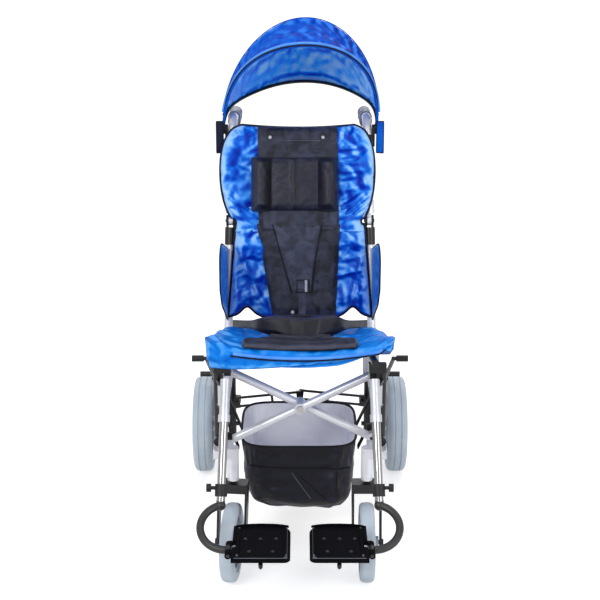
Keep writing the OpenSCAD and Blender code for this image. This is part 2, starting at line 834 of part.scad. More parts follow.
module cane_hinge() {
    inner = tongue_half + tongue_gap;
    outer = inner + hinge_cheek_t;
    difference() {
        union() {
            bar(cane_s(-sleeve_len), cane_s(-hinge_drop), hinge_r);
            hinge_frame() {
                for (s = [-1, 1]) {
                    bar_x(min(s * inner, s * outer), max(s * inner, s * outer), 0, 0, hinge_r);
                    box([min(s * inner, s * outer), -hinge_cheek_half, -cheek_len],
                        [max(s * inner, s * outer), hinge_cheek_half, 0]);
                }
                bar_x(-hinge_pin_half, hinge_pin_half, 0, 0, pin_r);
            }
        }
        bar(cane_s(-sleeve_len - over), cane_s(-hinge_drop - sleeve_cap + weld_gap), tube_r + weld_gap);
    }
}
module caster_housing() {
    difference() {
        union() {
            bar_z(housing_z0, housing_z1, stem_x, stem_y, housing_r);
            box([stem_x, stem_y - housing_r, bracket_z0], [frame_x + tube_r, post_y, housing_z1]);
        }
        bar_z(housing_z0 - over, stem_bore_z1, stem_x, stem_y, stem_r + run_gap);
        rail_cut();
    }
}
// share across and share up to a point on the side panel's middle plane
function panel_edge1(z) = cane_at(z)[1] - tube_r / cos(cane_lean) - weld_gap;
function panel_point(u, v, x) =
    let (z0 = panel_front_z0 + u * (panel_rear_z0 - panel_front_z0),
        z1 = panel_front_z1 + u * (panel_rear_z1 - panel_front_z1),
        z = z0 + v * (z1 - z0),
        cu = 1 - pow(abs(2 * v - 1), 6),
        y0 = panel_y0 + panel_round * (1 - cu),
        y1 = panel_edge1(z),
        y = y0 + u * (y1 - y0),
        zr = (2 * v - 1) * panel_round * pow(abs(2 * u - 1), 6) * (u < 0.5 ? 1 : 0))
    [x, y, z - zr];
module side_panel() {
    nu = 8;
    nv = 8;
    mid = panel_x0 + panel_t / 2;
    half = [for (j = [0:nv], i = [0:nu])
        panel_t / 2 - panel_crown * (1 - sin(half_turn * i / nu) * sin(half_turn * j / nv))];
    grid_shell(
        [for (j = [0:nv], i = [0:nu]) panel_point(i / nu, j / nv, mid + half[j * (nu + 1) + i])],
        [for (j = [0:nv], i = [0:nu]) panel_point(i / nu, j / nv, mid - half[j * (nu + 1) + i])], nu, nv);
}

// cross brace

module cross_arm(y, s, mid_face) {
    difference() {
        union() {
            bar([-s * pivot_x, y, low_z], [s * pivot_x, y, up_z], arm_r);
            bar_y(y - boss_half, y + boss_half, -s * pivot_x, low_z, boss_r);
            bar_y(y - boss_half, y + boss_half, s * pivot_x, up_z, boss_r);
            bar_y(min(y - s * boss_half, mid_face), max(y - s * boss_half, mid_face), 0, mid_z, mid_boss_r);
        }
        bar_y(y - boss_half - over, y + boss_half + over, -s * pivot_x, low_z, pin_r + run_gap);
        bar_y(y - boss_half - over, y + boss_half + over, s * pivot_x, up_z, pin_r + run_gap);
        bar_y(arm_a_y - boss_half - over, arm_b_y + boss_half + over, 0, mid_z, pin_r + run_gap);
    }
}
module bolt() {
    front = arm_a_y - boss_half - rest_gap;
    rear = arm_b_y + boss_half + rest_gap;
    bar_y(front - bolt_head_t, rear + bolt_head_t, 0, mid_z, pin_r);
    bar_y(front - bolt_head_t, front, 0, mid_z, bolt_head_r);
    bar_y(rear, rear + bolt_head_t, 0, mid_z, bolt_head_r);
}

// seat rails

module seat_rail(arm_y) {
    near = boss_half + lug_gap;
    bar([seat_x, seat_y0, seat_axis(seat_y0)], [seat_x, seat_y1, seat_axis(seat_y1)], seat_r);
    for (s = [-1, 1])
        box([seat_x - bracket_half, arm_y + min(s * near, s * (near + bracket_t)), up_z - bracket_half],
            [seat_x + bracket_half, arm_y + max(s * near, s * (near + bracket_t)), seat_axis(arm_y)]);
    bar_y(arm_y - near - bracket_t, arm_y + near + bracket_t, pivot_x, up_z, pin_r);
}

// casters and wheels, drawn for the right side

function crown_profile(r0, r1, half, n) = concat([[r0, -half], [r0, half]],
    [for (k = [0:n]) let (a = quarter - half_turn * k / n)
        [r0 + (r1 - r0) * (0.45 + 0.55 * pow(cos(a), 0.55)), half * signed_pow(sin(a), 0.7)]]);
module wheel_at(x, y, z) translate([x, y, z]) rotate([0, quarter, 0]) children();
module tyre(r0, r1, w) rotate_extrude($fn = full_turn / ring_n) polygon(crown_profile(r0, r1, w / 2, 18));
module caster_fork() {
    bar_z(crown_z0 + fork_t, stem_top, stem_x, stem_y, stem_r);
    box([stem_x - fork_half, stem_y - crown_half, crown_z0],
        [stem_x + fork_half, stem_y + crown_half, crown_z1]);
    for (s = [-1, 1]) {
        x0 = stem_x + min(s * fork_half, s * (fork_half - fork_t));
        along_x(x0, x0 + fork_t) {
            polygon([[stem_y - crown_half, crown_z0 + fork_t], [stem_y + crown_half, crown_z0 + fork_t],
                [fork_end_r, caster_r], [-fork_end_r, caster_r]]);
            translate([0, caster_r]) circle(r = fork_end_r, $fn = round_fn);
        }
        xh = stem_x + min(s * fork_half, s * (fork_half + axle_head_t));
        bar_x(xh, xh + axle_head_t, 0, caster_r, axle_head_r);
    }
    bar_x(stem_x - fork_half, stem_x + fork_half, 0, caster_r, caster_axle_r);
}
module caster_hub() wheel_at(stem_x, 0, caster_r) difference() {
    union() {
        cylinder(h = 2 * caster_barrel_half, r = caster_barrel_r, center = true, $fn = round_fn);
        difference() {
            cylinder(h = 2 * caster_rim_half, r = caster_rim_r - weld_gap, center = true, $fn = round_fn);
            cylinder(h = 2 * caster_rim_half + over, r = caster_rim_in, center = true, $fn = round_fn);
        }
        difference() {
            cylinder(h = 2 * caster_web_half, r = caster_rim_in + over, center = true, $fn = round_fn);
            for (k = [1:caster_holes])
                rotate([0, 0, full_turn * k / caster_holes]) translate([caster_hole_pcd, 0, 0])
                    cylinder(h = 2 * caster_web_half + over, r = caster_hole_r, center = true, $fn = round_fn);
        }
    }
    cylinder(h = 2 * caster_barrel_half + over, r = caster_axle_r + run_gap, center = true, $fn = round_fn);
}
module caster_tyre() wheel_at(stem_x, 0, caster_r) tyre(caster_rim_r, caster_r, caster_w);
module rear_hub() wheel_at(wheel_x, rear_y, wheel_r) difference() {
    union() {
        cylinder(h = 2 * wheel_barrel_half, r = wheel_barrel_r, center = true, $fn = round_fn);
        difference() {
            cylinder(h = 2 * wheel_rim_half, r = wheel_rim_r - weld_gap, center = true, $fn = round_fn);
            cylinder(h = 2 * wheel_rim_half + over, r = wheel_rim_in, center = true, $fn = round_fn);
        }
        for (k = [1:wheel_spokes]) rotate([0, 0, full_turn * k / wheel_spokes])
            box([wheel_barrel_r - over, -spoke_half, -spoke_deep], [wheel_rim_in + over, spoke_half, spoke_deep]);
    }
    cylinder(h = 2 * wheel_barrel_half + over, r = axle_r + run_gap, center = true, $fn = round_fn);
}
module rear_tyre() wheel_at(wheel_x, rear_y, wheel_r) tyre(wheel_rim_r, wheel_r, wheel_w);

// rear stay link, drawn for the right side

module rear_stay(y) {
    span = stay_x / cos(stay_rise);
    translate([stay_x, y, stay_z]) rotate([0, stay_rise, 0]) difference() {
        union() {
            for (s = [-1, 1]) bar_x(-span, 0, 0, s * stay_half, stay_bar_r);
            box([-span - stay_bar_r, -stay_t_half, -stay_half - stay_bar_r],
                [-span + stay_end_r, stay_t_half, stay_half + stay_bar_r]);
            box([-stay_end_r, -stay_t_half, -stay_half - stay_bar_r],
                [stay_bar_r, stay_t_half, stay_half + stay_bar_r]);
            bar_y(-stay_t_half, stay_t_half, 0, 0, stay_end_r);
            bar_z(-stay_half, stay_half, -span * (1 - stay_strut_share), 0, stay_bar_r);
        }
        bar_y(-stay_t_half - over, stay_t_half + over, 0, 0, pin_r + run_gap);
    }
}

// brake, drawn for the right side

module brake_lever() {
    difference() {
        union() {
            bar_x(lever_x0, lever_x1, brake_y, rail_z, lever_hub_r);
            bar([lever_x, brake_y, rail_z], [lever_x, lever_y, lever_z], lever_r);
            bar([lever_x, brake_y, rail_z], [lever_x, shoe_y, shoe_z], lever_r);
            bar_x(shoe_x0, shoe_x1, shoe_y, shoe_z, shoe_r);
            bar_x(lever_x - lever_r, brake_grip_x1 - over, lever_y, lever_z, grip_core_r);
        }
        bar_x(lever_x0 - over, lever_x1 + over, brake_y, rail_z, brake_pin_r + run_gap);
    }
}
module brake_grip() {
    difference() {
        bar_x(brake_grip_x0, brake_grip_x1, lever_y, lever_z, brake_grip_r);
        bar_x(brake_grip_x0 - over, brake_grip_x1 - over + weld_gap, lever_y, lever_z, grip_core_r + weld_gap);
    }
}

// legrest, drawn for the right side

module legrest_hanger() {
    z0 = swing_z0 + swing_lug_t + swing_play;
    z1 = swing_z1 - swing_play;
    mid = leg_at((hang_z - (z0 + z1) / 2) / (hang_z - leg_z));
    turn = atan2(mid[1] - swing_y, mid[0] - swing_x);
    leg_len = norm(leg_at(1) - leg_at(0));
    difference() {
        union() {
            bar(leg_at(-hang_cap / leg_len), leg_at(hanger_share), tube_r);
            bar(leg_at(hanger_share - collar_len / leg_len), leg_at(hanger_share), collar_r);
            bar_z(z0, z1, swing_x, swing_y, swing_sleeve_r);
            translate([swing_x, swing_y, 0]) rotate([0, 0, turn])
                box([0, -gusset_half, z0 + gusset_inset], [gusset_len, gusset_half, z1 - gusset_inset]);
        }
        bar_z(z0 - over, z1 + over, swing_x, swing_y, swing_r + run_gap);
        bar(leg_at(0), leg_at(hanger_share + over / leg_len), leg_r + run_gap);
    }
}
module leg_tube() {
    bar(leg_at(insert_share), leg_at(1), leg_r);
    translate(leg_at(1)) sphere(r = leg_r + over, $fn = round_fn);
    translate(loop_mid) rotate([half_turn + loop_slope, 0, 0]) rotate([0, 0, loop_start - quarter])
        rotate_extrude(angle = half_turn - loop_start, $fn = 2 * round_fn)
            translate([loop_bend, 0]) circle(r = loop_r, $fn = round_fn);
    bar_y(knuckle_y - knuckle_half, knuckle_y + knuckle_half, plate_hinge_x, knuckle_z, knuckle_r);
    reach = knuckle_half + knuckle_gap + plate_knuckle_len;
    bar_y(knuckle_y - reach, knuckle_y + reach, plate_hinge_x, knuckle_z, pin_r);
}
module leg_clamp() {
    knob = leg_at(knob_share);
    difference() {
        union() {
            bar(leg_at(clamp_shares[0]), leg_at(clamp_shares[1]), clamp_r);
            bar_x(knob[0], knob[0] + knob_len, knob[1], knob[2], shank_r);
            bar_x(knob[0] + knob_len - knob_head, knob[0] + knob_len, knob[1], knob[2], knob_r);
        }
        bar(leg_at(insert_share), leg_at(1), leg_r + weld_gap);
    }
}
// what a rounded corner of the plate takes away; sy is 1 at the heel and -1 at the toe
module corner_cut(y, r, sy) {
    difference() {
        translate([plate_x0 - over, sy > 0 ? y - r : y - over]) square([r + over, r + over]);
        translate([plate_x0 + r, y - sy * r]) circle(r = r, $fn = round_fn);
    }
}
module plate_outline() {
    difference() {
        translate([plate_x0, plate_y0]) square([plate_x1 - plate_x0, plate_y1 - plate_y0]);
        translate([plate_x1 - notch_deep, knuckle_y - notch_half])
            square([notch_deep + over, 2 * notch_half]);
        corner_cut(plate_y1, heel_corner, 1);
        corner_cut(plate_y0, plate_corner, -1);
    }
}
module footplate() {
    low = knuckle_z + plate_low;
    top = low + plate_t;
    wide = plate_x1 - plate_x0;
    reach = knuckle_half + knuckle_gap;
    difference() {
        union() {
            translate([0, 0, low]) linear_extrude(height = plate_t) plate_outline();
            for (t = tread_shares)
                box([plate_x0 + t * wide - tread_w / 2, plate_y0 + plate_corner, low],
                    [plate_x0 + t * wide + tread_w / 2, plate_y1 - heel_corner / 2, top + tread_h]);
            box([plate_x0 + plate_corner, plate_y0, low], [plate_x1, plate_y0 + lip_t, top + lip_h]);
            bar_z(low - nub_h, low + over, plate_x0 + nub_share * wide, (plate_y0 + plate_y1) / 2, nub_r);
            for (y = [knuckle_y - reach - plate_knuckle_len, knuckle_y + reach]) {
                bar_y(y, y + plate_knuckle_len, plate_hinge_x, knuckle_z, plate_knuckle_r);
                box([plate_x1 - over, y, low], [plate_hinge_x, y + plate_knuckle_len, knuckle_z + plate_knuckle_r]);
            }
        }
        bar_y(knuckle_y - reach - plate_knuckle_len - over, knuckle_y + reach + plate_knuckle_len + over,
            plate_hinge_x, knuckle_z, pin_r + run_gap);
    }
}

// upper canes, drawn for the right side

module bend_frame() translate(cane_at(bend_z))
    rotate([0, -cane_slope, 0]) rotate([-cane_pitch, 0, 0]) children();
module handle_frame() bend_frame()
    translate([0, bend_r * (1 - cos(bend_deg)), bend_r * sin(bend_deg)]) rotate([-bend_deg, 0, 0]) children();
module upper_cane() {
    difference() {
        union() {
            hinge_frame() {
                bar_x(-tongue_half, tongue_half, 0, 0, tongue_r);
                box([-tongue_half, -neck_half, 0], [tongue_half, neck_half, hinge_drop + over]);
            }
            bar(cane_s(hinge_drop), cane_s(ferrule_len), hinge_r);
            bar(cane_s(hinge_drop), cane_at(bend_z), tube_r);
            bend_frame() translate([0, bend_r, 0]) rotate([quarter, 0, -quarter])
                rotate_extrude(angle = bend_deg, $fn = 2 * round_fn)
                    translate([bend_r, 0]) circle(r = tube_r - weld_gap, $fn = round_fn);
            handle_frame() cylinder(h = handle_len, r = tube_r, $fn = round_fn);
        }
        hinge_frame() bar_x(-tongue_half - over, tongue_half + over, 0, 0, pin_r + run_gap);
    }
}
module push_grip() handle_frame() difference() {
    translate([0, 0, grip_s0]) cylinder(h = handle_len + grip_cap - grip_s0, r = grip_r, $fn = round_fn);
    translate([0, 0, grip_s0 - over])
        cylinder(h = handle_len + over + weld_gap - grip_s0, r = tube_r + weld_gap, $fn = round_fn);
}
module canopy_clamp() {
    difference() {
        union() {
            bar(cane_at(clamp_z0), cane_at(clamp_z1), hinge_r);
            box([clamp_x0, canopy_y - clamp_boss_r, canopy_z - clamp_lug],
                [clamp_x1, canopy_y + clamp_boss_r, canopy_z]);
            bar_x(clamp_x0, clamp_x1, canopy_y, canopy_z, clamp_boss_r);
            bar_x(clamp_x0, disc_x0 + disc_t + rest_gap + canopy_head_t, canopy_y, canopy_z, pin_r);
            bar_x(disc_x0 + disc_t + rest_gap, disc_x0 + disc_t + rest_gap + canopy_head_t,
                canopy_y, canopy_z, canopy_head_r);
        }
        bar(cane_at(clamp_z0 - over), cane_at(bend_z), tube_r + weld_gap);
    }
}

// canopy

// point of the cover's form: a is the angle from the middle, b the angle forward of upright
function dome(a, b, half, r) = [half * sin(a) + canopy_lean * cos(a),
    canopy_y - r * cos(a) * sin(b), canopy_z + r * cos(a) * cos(b)];
function rear_reach(a) = canopy_rear_side + (canopy_rear - canopy_rear_side) * (1 - pow(1 - cos(a), 3));
// angle of row v: front hem at 0, ridge bow at the middle, rear hem at 1
function row_angle(a, v) = v < 0.5 ? canopy_front + (canopy_ridge - canopy_front) * 2 * v
    : canopy_ridge - (canopy_ridge + rear_reach(a)) * (2 * v - 1);
cover_turn = acos(canopy_foot / canopy_r);
bow_turn = acos(bow_foot / canopy_r);
module canopy_cover() {
    nu = 24;
    nv = 12;
    sag = [for (j = [0:nv]) canopy_sag * pow(sin(half_turn * (2 * j / nv - floor(2 * j / nv))), 2)];
    turn = [for (i = [0:nu]) cover_turn * (2 * i / nu - 1)];
    grid_shell(
        [for (j = [0:nv], i = [0:nu]) dome(turn[i], row_angle(turn[i], j / nv),
            canopy_half - sag[j] * cos(turn[i]), canopy_r - sag[j])],
        [for (j = [0:nv], i = [0:nu]) dome(turn[i], row_angle(turn[i], j / nv),
            canopy_half - canopy_t - sag[j] * cos(turn[i]), canopy_r - canopy_t - sag[j])], nu, nv);
}
module bow(v) {
    turns = concat([-bow_turn, -(bow_turn + cover_turn) / 2],
        [for (i = [0:24]) cover_turn * (i / 12 - 1)], [(bow_turn + cover_turn) / 2, bow_turn]);
    ring_sweep([for (a = turns)
        let (b = row_angle(a, v), p = dome(a, b, canopy_half - bow_drop, canopy_r - bow_drop),
            out = [sin(a), -cos(a) * sin(b), cos(a) * cos(b)], side = [0, cos(b), sin(b)])
        [for (k = [0:ring_n - 1]) let (w = full_turn * k / ring_n)
            p + bow_r * cos(w) * out - bow_r * sin(w) * side]]);
}
module canopy_bows() {
    difference() {
        union() {
            for (v = [0, 0.5, 1]) bow(v);
            for (s = [-1, 1])
                bar_x(min(s * disc_x0, s * (disc_x0 + disc_t)), max(s * disc_x0, s * (disc_x0 + disc_t)),
                    canopy_y, canopy_z, disc_r);
        }
        bar_x(-canopy_half - over, canopy_half + over, canopy_y, canopy_z, pin_r + run_gap);
    }
}

// seat covers

cush_half_shares = [[0, 0.94], [0.02, 0.98], [0.06, 1], [0.5, 0.985], [0.8, 0.93], [0.92, 0.86], [1, 0.76]];
cush_row_shares = [0, 0.008, 0.025, 0.07, 0.14, 0.24, 0.34, 0.44, 0.54, 0.64, 0.74, 0.84, 0.92, 0.97, 1];
front_drop_shares = [[0, 1], [0.008, 0.5], [0.025, 0.12], [0.07, 0], [0.92, 0], [0.97, 0.25], [1, 1]];
fascia_shares = [[-1, 0.1], [-0.6, 0], [0, 0.21], [0.52, 0.53], [0.88, 0.95], [1, 1]];
function cush_share(y) = (y - cush_y0) / (cush_y1 - cush_y0);
function cush_wide(y) = cush_half * lookup(cush_share(y), cush_half_shares);
function cush_top(x, y) = let (u = x / cush_wide(y), e = clip((abs(u) - 0.88) / 0.12))
    cush_z - tan(seat_tilt) * (y - seat_ref_y) - cush_sag * (1 - u * u) * (1 - 0.25 * clip(cush_share(y)))
        - cush_roll * e * e - cush_roll * lookup(cush_share(y), front_drop_shares);
function fascia_low(x) = fascia_z + fascia_rise * lookup(x / cush_half, fascia_shares);
function cush_under(x, y) = let (u = clip(1 - pow(x / (seat_x - seat_r - over), 2)),
        lift = max(0, fascia_low(x) - rail_top(cush_y0 + fascia_t)))
    rail_top(y) - under_sag * u + lift * (1 - ease((y - cush_y0 - fascia_t) / corner_len));
module cushion() {
    nu = 20;
    nv = len(cush_row_shares) - 1;
    across = [for (i = [0:nu]) sin(quarter * (2 * i / nu - 1))];
    along = [for (s = cush_row_shares) cush_y0 + s * (cush_y1 - cush_y0)];
    under_y = [for (j = [0:nv]) j == 0 ? cush_y0 + over : j == 1 ? cush_y0 + fascia_t
        : j == 2 ? cush_y0 + fascia_t + rest_gap : along[j]];
    grid_shell(
        [for (j = [0:nv], i = [0:nu]) let (x = across[i] * cush_wide(along[j])) [x, along[j], cush_top(x, along[j])]],
        [for (j = [0:nv], i = [0:nu]) let (x = across[i] * cush_wide(under_y[j]) * 0.985)
            [x, under_y[j], j < 2 ? fascia_low(x) : cush_under(x, under_y[j])]], nu, nv);
}
pad_half_shares = [[0, 0.95], [0.015, 0.99], [0.03, 1], [0.13, 1], [0.17, 0.93], [0.22, 0.72], [0.28, 0.6],
    [0.5, 0.55], [1, 0.53]];
pad_row_shares = [0, 0.015, 0.03, 0.08, 0.13, 0.17, 0.22, 0.28, 0.38, 0.5, 0.65, 0.82, 1];
module pad() {
    nu = 14;
    nv = len(pad_row_shares) - 1;
    along = [for (s = pad_row_shares) pad_y0 + s * (pad_y1 - pad_y0)];
    across = [for (i = [0:nu]) sin(quarter * (2 * i / nu - 1))];
    thick = [for (j = [0:nv], i = [0:nu]) pad_t * (0.3 + 0.7 * (i == 0 || i == nu || j == 0 || j == nv ? 0 : 1))];
    grid_shell(
        [for (j = [0:nv], i = [0:nu]) let (x = across[i] * pad_half * lookup(pad_row_shares[j], pad_half_shares))
            [x, along[j], cush_top(x, along[j]) + rest_gap + thick[j * (nu + 1) + i]]],
        [for (j = [0:nv], i = [0:nu]) let (x = across[i] * pad_half * lookup(pad_row_shares[j], pad_half_shares))
            [x, along[j], cush_top(x, along[j]) + rest_gap]], nu, nv);
}
belt_pad_shares = [[0, 1], [0.4, 1], [0.52, 0.7], [0.62, 0], [1, 0]];
belt_lift_shares = [[0, 1], [0.58, 1], [0.8, 0], [1, 0]];
function belt_y(x) = belt_y1 - (belt_y1 - belt_y0) * (1 - pow(x / belt_half, 2));
module belt() {
    nu = 24;
    nv = 6;
    grid_shell(
        [for (j = [0:nv], i = [0:nu]) belt_point(2 * i / nu - 1, 2 * j / nv - 1, 1)],
        [for (j = [0:nv], i = [0:nu]) belt_point(2 * i / nu - 1, 2 * j / nv - 1, 0)], nu, nv);
}
function belt_point(u, w, side) =
    let (x = u * belt_half, pad = lookup(abs(u), belt_pad_shares),
        y = belt_y(x) + w * (belt_w + belt_pad_w * pad) / 2,
        thick = belt_t + belt_pad_t * pad * (1 - pow(w, 4)),
        lift = (pad_t + rest_gap) * lookup(abs(u), belt_lift_shares) + belt_rise * pad * (1 + w) / 2)
    [x, y, cush_top(x, y) + lift + 3 * rest_gap + side * thick];

// back covers, in the frame of the hinge axis; the back face clears the hinge blocks

back_y = hinge_r + rest_gap;
module back_frame() translate([0, hinge_at[1], hinge_z]) rotate([-cane_lean, 0, 0]) children();
function strip(x, half) = strip_t * ease((half - abs(x)) / (2 * back_edge));
function crown(u, v) = let (eu = clip((1 - abs(u)) / 0.16), ev = clip(min(v, 1 - v) / 0.12))
    back_edge + (back_t - back_edge) * sqrt(eu * (2 - eu) * ev * (2 - ev));
// the lower back lies on the canes and steps over the hinge sleeves
function low_seat(z) = tube_r + rest_gap + (hinge_r - tube_r) * ease((z + sleeve_len + sleeve_step) / sleeve_step);
low_cols = 24;
low_rows = 10;
hem_shares = [[0, 0], [0.45, 0], [0.6, 0.35], [0.74, 1], [0.88, 0.35], [1, 0.1]];
function low_point(i, j, side) =
    let (u = 2 * i / low_cols - 1, v = j / low_rows,
        half = low_half1 + (low_half0 - low_half1) * v,
        z = -low_len + hem_arch * lookup(abs(u), hem_shares) * (1 - v)
            + v * (low_len - low_top),
        x = u * half)
    [x, -low_seat(z) - side * (crown(u, v) + strip(x, strip_half_low + (strip_half - strip_half_low) * v)), z];
module back_low() back_frame() grid_shell(
    [for (j = [0:low_rows], i = [0:low_cols]) low_point(i, j, 1)],
    [for (j = [0:low_rows], i = [0:low_cols]) low_point(i, j, 0)], low_cols, low_rows);
high_cols = 24;
high_rows = 12;
high_half_shares = [[0, 0.86], [0.12, 0.925], [0.25, 0.97], [0.4, 0.995], [0.55, 1], [0.7, 0.985], [0.82, 0.95],
    [0.92, 0.885], [0.97, 0.82], [1, 0.73]];
function high_point(i, j, side) =
    let (u = 2 * i / high_cols - 1, s = j / high_rows, v = 1 - pow(1 - s, 1.35),
        half = high_half * lookup(v, high_half_shares),
        top = high_top - high_dip * (1 - u * u),
        x = u * half)
    [x, -back_y - side * (crown(u, v) + strip(x, strip_half)), high_low + v * (top - high_low)];
module back_high() back_frame() grid_shell(
    [for (j = [0:high_rows], i = [0:high_cols]) high_point(i, j, 1)],
    [for (j = [0:high_rows], i = [0:high_cols]) high_point(i, j, 0)], high_cols, high_rows);
head_cols = 20;
head_rows = 8;
function head_point(i, j, side) =
    let (u = 2 * i / head_cols - 1, v = j / head_rows,
        roll = pow(sin(half_turn * clip((abs(u) - 0.56) / 0.44)), 0.7),
        ridge = 0.25 * pow(max(0, 1 - abs(u) / 0.1), 2),
        edge = sqrt(clip(min(v, 1 - v) / 0.14)) * clip((1 - abs(u)) / 0.08 + 0.2),
        thick = back_edge + (head_t - back_edge + head_roll * roll + head_t * ridge) * edge)
    [(head_x0 + head_x1) / 2 + u * (head_x1 - head_x0) / 2,
        -back_y - back_t - strip_t - rest_gap - side * thick, head_z0 + v * (head_z1 - head_z0)];
module head() back_frame() grid_shell(
    [for (j = [0:head_rows], i = [0:head_cols]) head_point(i, j, 1)],
    [for (j = [0:head_rows], i = [0:head_cols]) head_point(i, j, 0)], head_cols, head_rows);

// storage bag

bag_level_shares = [[0, 0.12], [0.02, 0.5], [0.08, 0.82], [0.2, 0.93], [0.55, 1], [1, 0.985]];
bag_n = 28;
function bag_ring(level, inset) =
    let (t = level[0], s = level[1], cy = (bag_y0 + bag_y1) / 2, hy = (bag_y1 - bag_y0) / 2)
    [for (k = [0:bag_n - 1]) let (a = full_turn * k / bag_n,
            x = (bag_half - inset) * s * signed_pow(cos(a), 0.4),
            y = (hy - inset) * s * signed_pow(sin(a), 0.4),
            rim = bag_z1 + bag_rise * (y + hy) / (2 * hy),
            low = bag_z0 + inset - bag_sag * clip(1 - s))
        [x, cy + y, low + t * (rim - low)]];
module bag() {
    ring_sweep(concat([for (level = bag_level_shares) bag_ring(level, 0)],
        [for (k = [len(bag_level_shares) - 1:-1:0]) bag_ring(bag_level_shares[k], bag_t)]));
    hy = (bag_y1 - bag_y0) / 2;
    for (s = [-1, 1], t = bag_strap_shares) {
        y = bag_y0 + t * 2 * hy;
        foot = [bag_half - 2 * bag_t, bag_z1 - bag_strap_half];
        near = (tube_r + rest_gap) * cos(quarter / 2);
        head = [frame_x - near, rail_z - near];
        reach = norm(head - foot);
        tilt = atan2(head[1] - foot[1], head[0] - foot[0]);
        mirror([s < 0 ? 1 : 0, 0, 0]) translate([foot[0], y, foot[1]]) rotate([0, -tilt, 0])
            box([0, -bag_strap_half, -bag_strap_t / 2], [reach, bag_strap_half, bag_strap_t / 2]);
    }
}

module left_lower_rail() color(silver_c) placed() on_left() lower_rail(arm_a_y, -1);
module right_lower_rail() color(silver_c) placed() lower_rail(arm_b_y, 1);
module left_front_post() color(silver_c) placed() on_left() front_post();
module right_front_post() color(silver_c) placed() front_post();
module left_rear_post() color(silver_c) placed() on_left() rear_post();
module right_rear_post() color(silver_c) placed() rear_post();
module left_side_rail() color(silver_c) placed() on_left() side_rail();
module right_side_rail() color(silver_c) placed() side_rail();
module left_lower_cane() color(silver_c) placed() on_left() lower_cane();
module right_lower_cane() color(silver_c) placed() lower_cane();
module left_cane_hinge() color(black_c) placed() on_left() cane_hinge();
module right_cane_hinge() color(black_c) placed() cane_hinge();
module left_caster_housing() color(silver_c) placed() on_left() caster_housing();
module right_caster_housing() color(silver_c) placed() caster_housing();
module left_side_panel() color(blue_c) placed() on_left() side_panel();
module right_side_panel() color(blue_c) placed() side_panel();
module lower_back() color(blue_c) placed() back_low();
module storage_bag() color(cloth_c) placed() bag();
module cross_arm_a() color(silver_c) placed() cross_arm(arm_a_y, 1, mid_y - mid_gap);
module cross_arm_b() color(silver_c) placed() cross_arm(arm_b_y, -1, mid_y + mid_gap);
module cross_bolt() color(black_c) placed() bolt();
module left_seat_rail() color(silver_c) placed() on_left() seat_rail(arm_b_y);
module right_seat_rail() color(silver_c) placed() seat_rail(arm_a_y);
module seat_cushion() color(blue_c) placed() cushion();
module seat_insert() color(cloth_c) placed() pad();
module lap_belt() color(cloth_c) placed() belt();
module turned() translate(stem) rotate([0, 0, caster_yaw]) translate(-stem) children();
module left_caster_fork() color(black_c) placed() turned() on_left() caster_fork();
module right_caster_fork() color(black_c) placed() caster_fork();
module left_caster_hub() color(hub_c) placed() turned() on_left() caster_hub();
module right_caster_hub() color(hub_c) placed() caster_hub();
module left_caster_tyre() color(tyre_c) placed() turned() on_left() caster_tyre();
module right_caster_tyre() color(tyre_c) placed() caster_tyre();
module left_rear_hub() color(hub_c) placed() on_left() rear_hub();
module right_rear_hub() color(hub_c) placed() rear_hub();
module left_rear_tyre() color(tyre_c) placed() on_left() rear_tyre();
module right_rear_tyre() color(tyre_c) placed() rear_tyre();
module left_brake_lever() color(black_c) placed() on_left() brake_lever();
module right_brake_lever() color(black_c) placed() brake_lever();
module left_brake_grip() color(black_c) placed() on_left() brake_grip();
module right_brake_grip() color(black_c) placed() brake_grip();
module left_legrest_hanger() color(silver_c) placed() on_left() legrest_hanger();
module right_legrest_hanger() color(silver_c) placed() legrest_hanger();
module left_leg_tube() color(chrome_c) placed() on_left() leg_tube();
module right_leg_tube() color(chrome_c) placed() leg_tube();
module left_leg_clamp() color(black_c) placed() on_left() leg_clamp();
module right_leg_clamp() color(black_c) placed() leg_clamp();
module left_footplate() color(black_c) placed() on_left() footplate();
module right_footplate() color(black_c) placed() footplate();
module left_upper_cane() color(silver_c) placed() on_left() upper_cane();
module right_upper_cane() color(silver_c) placed() upper_cane();
module left_push_grip() color(black_c) placed() on_left() push_grip();
module right_push_grip() color(black_c) placed() push_grip();
module left_canopy_clamp() color(black_c) placed() on_left() canopy_clamp();
module right_canopy_clamp() color(black_c) placed() canopy_clamp();
module upper_back() color(blue_c) placed() back_high();
module headrest() color(cloth_c) placed() head();
module left_rear_stay() color(black_c) placed() on_left() rear_stay(stay_left_y);
module right_rear_stay() color(black_c) placed() rear_stay(stay_right_y);

module canopy_skin() color(blue_c) placed() canopy_cover();
module canopy_frame() color(black_c) placed() canopy_bows();

// the piece to draw, or all

left_lower_rail();
right_lower_rail();
left_front_post();
right_front_post();
left_rear_post();
right_rear_post();
left_side_rail();
right_side_rail();
left_lower_cane();
right_lower_cane();
left_cane_hinge();
right_cane_hinge();
left_caster_housing();
right_caster_housing();
left_side_panel();
right_side_panel();
lower_back();
storage_bag();
cross_arm_a();
cross_arm_b();
cross_bolt();
left_seat_rail();
right_seat_rail();
seat_cushion();
seat_insert();
lap_belt();
left_caster_fork();
right_caster_fork();
left_caster_hub();
right_caster_hub();
left_caster_tyre();
right_caster_tyre();
left_rear_hub();
right_rear_hub();
left_rear_tyre();
right_rear_tyre();
left_brake_lever();
right_brake_lever();
left_brake_grip();
right_brake_grip();
left_legrest_hanger();
right_legrest_hanger();
left_leg_tube();
right_leg_tube();
left_leg_clamp();
right_leg_clamp();
left_footplate();
right_footplate();
left_upper_cane();
right_upper_cane();
left_push_grip();
right_push_grip();
left_canopy_clamp();
right_canopy_clamp();
upper_back();
headrest();
canopy_skin();
canopy_frame();
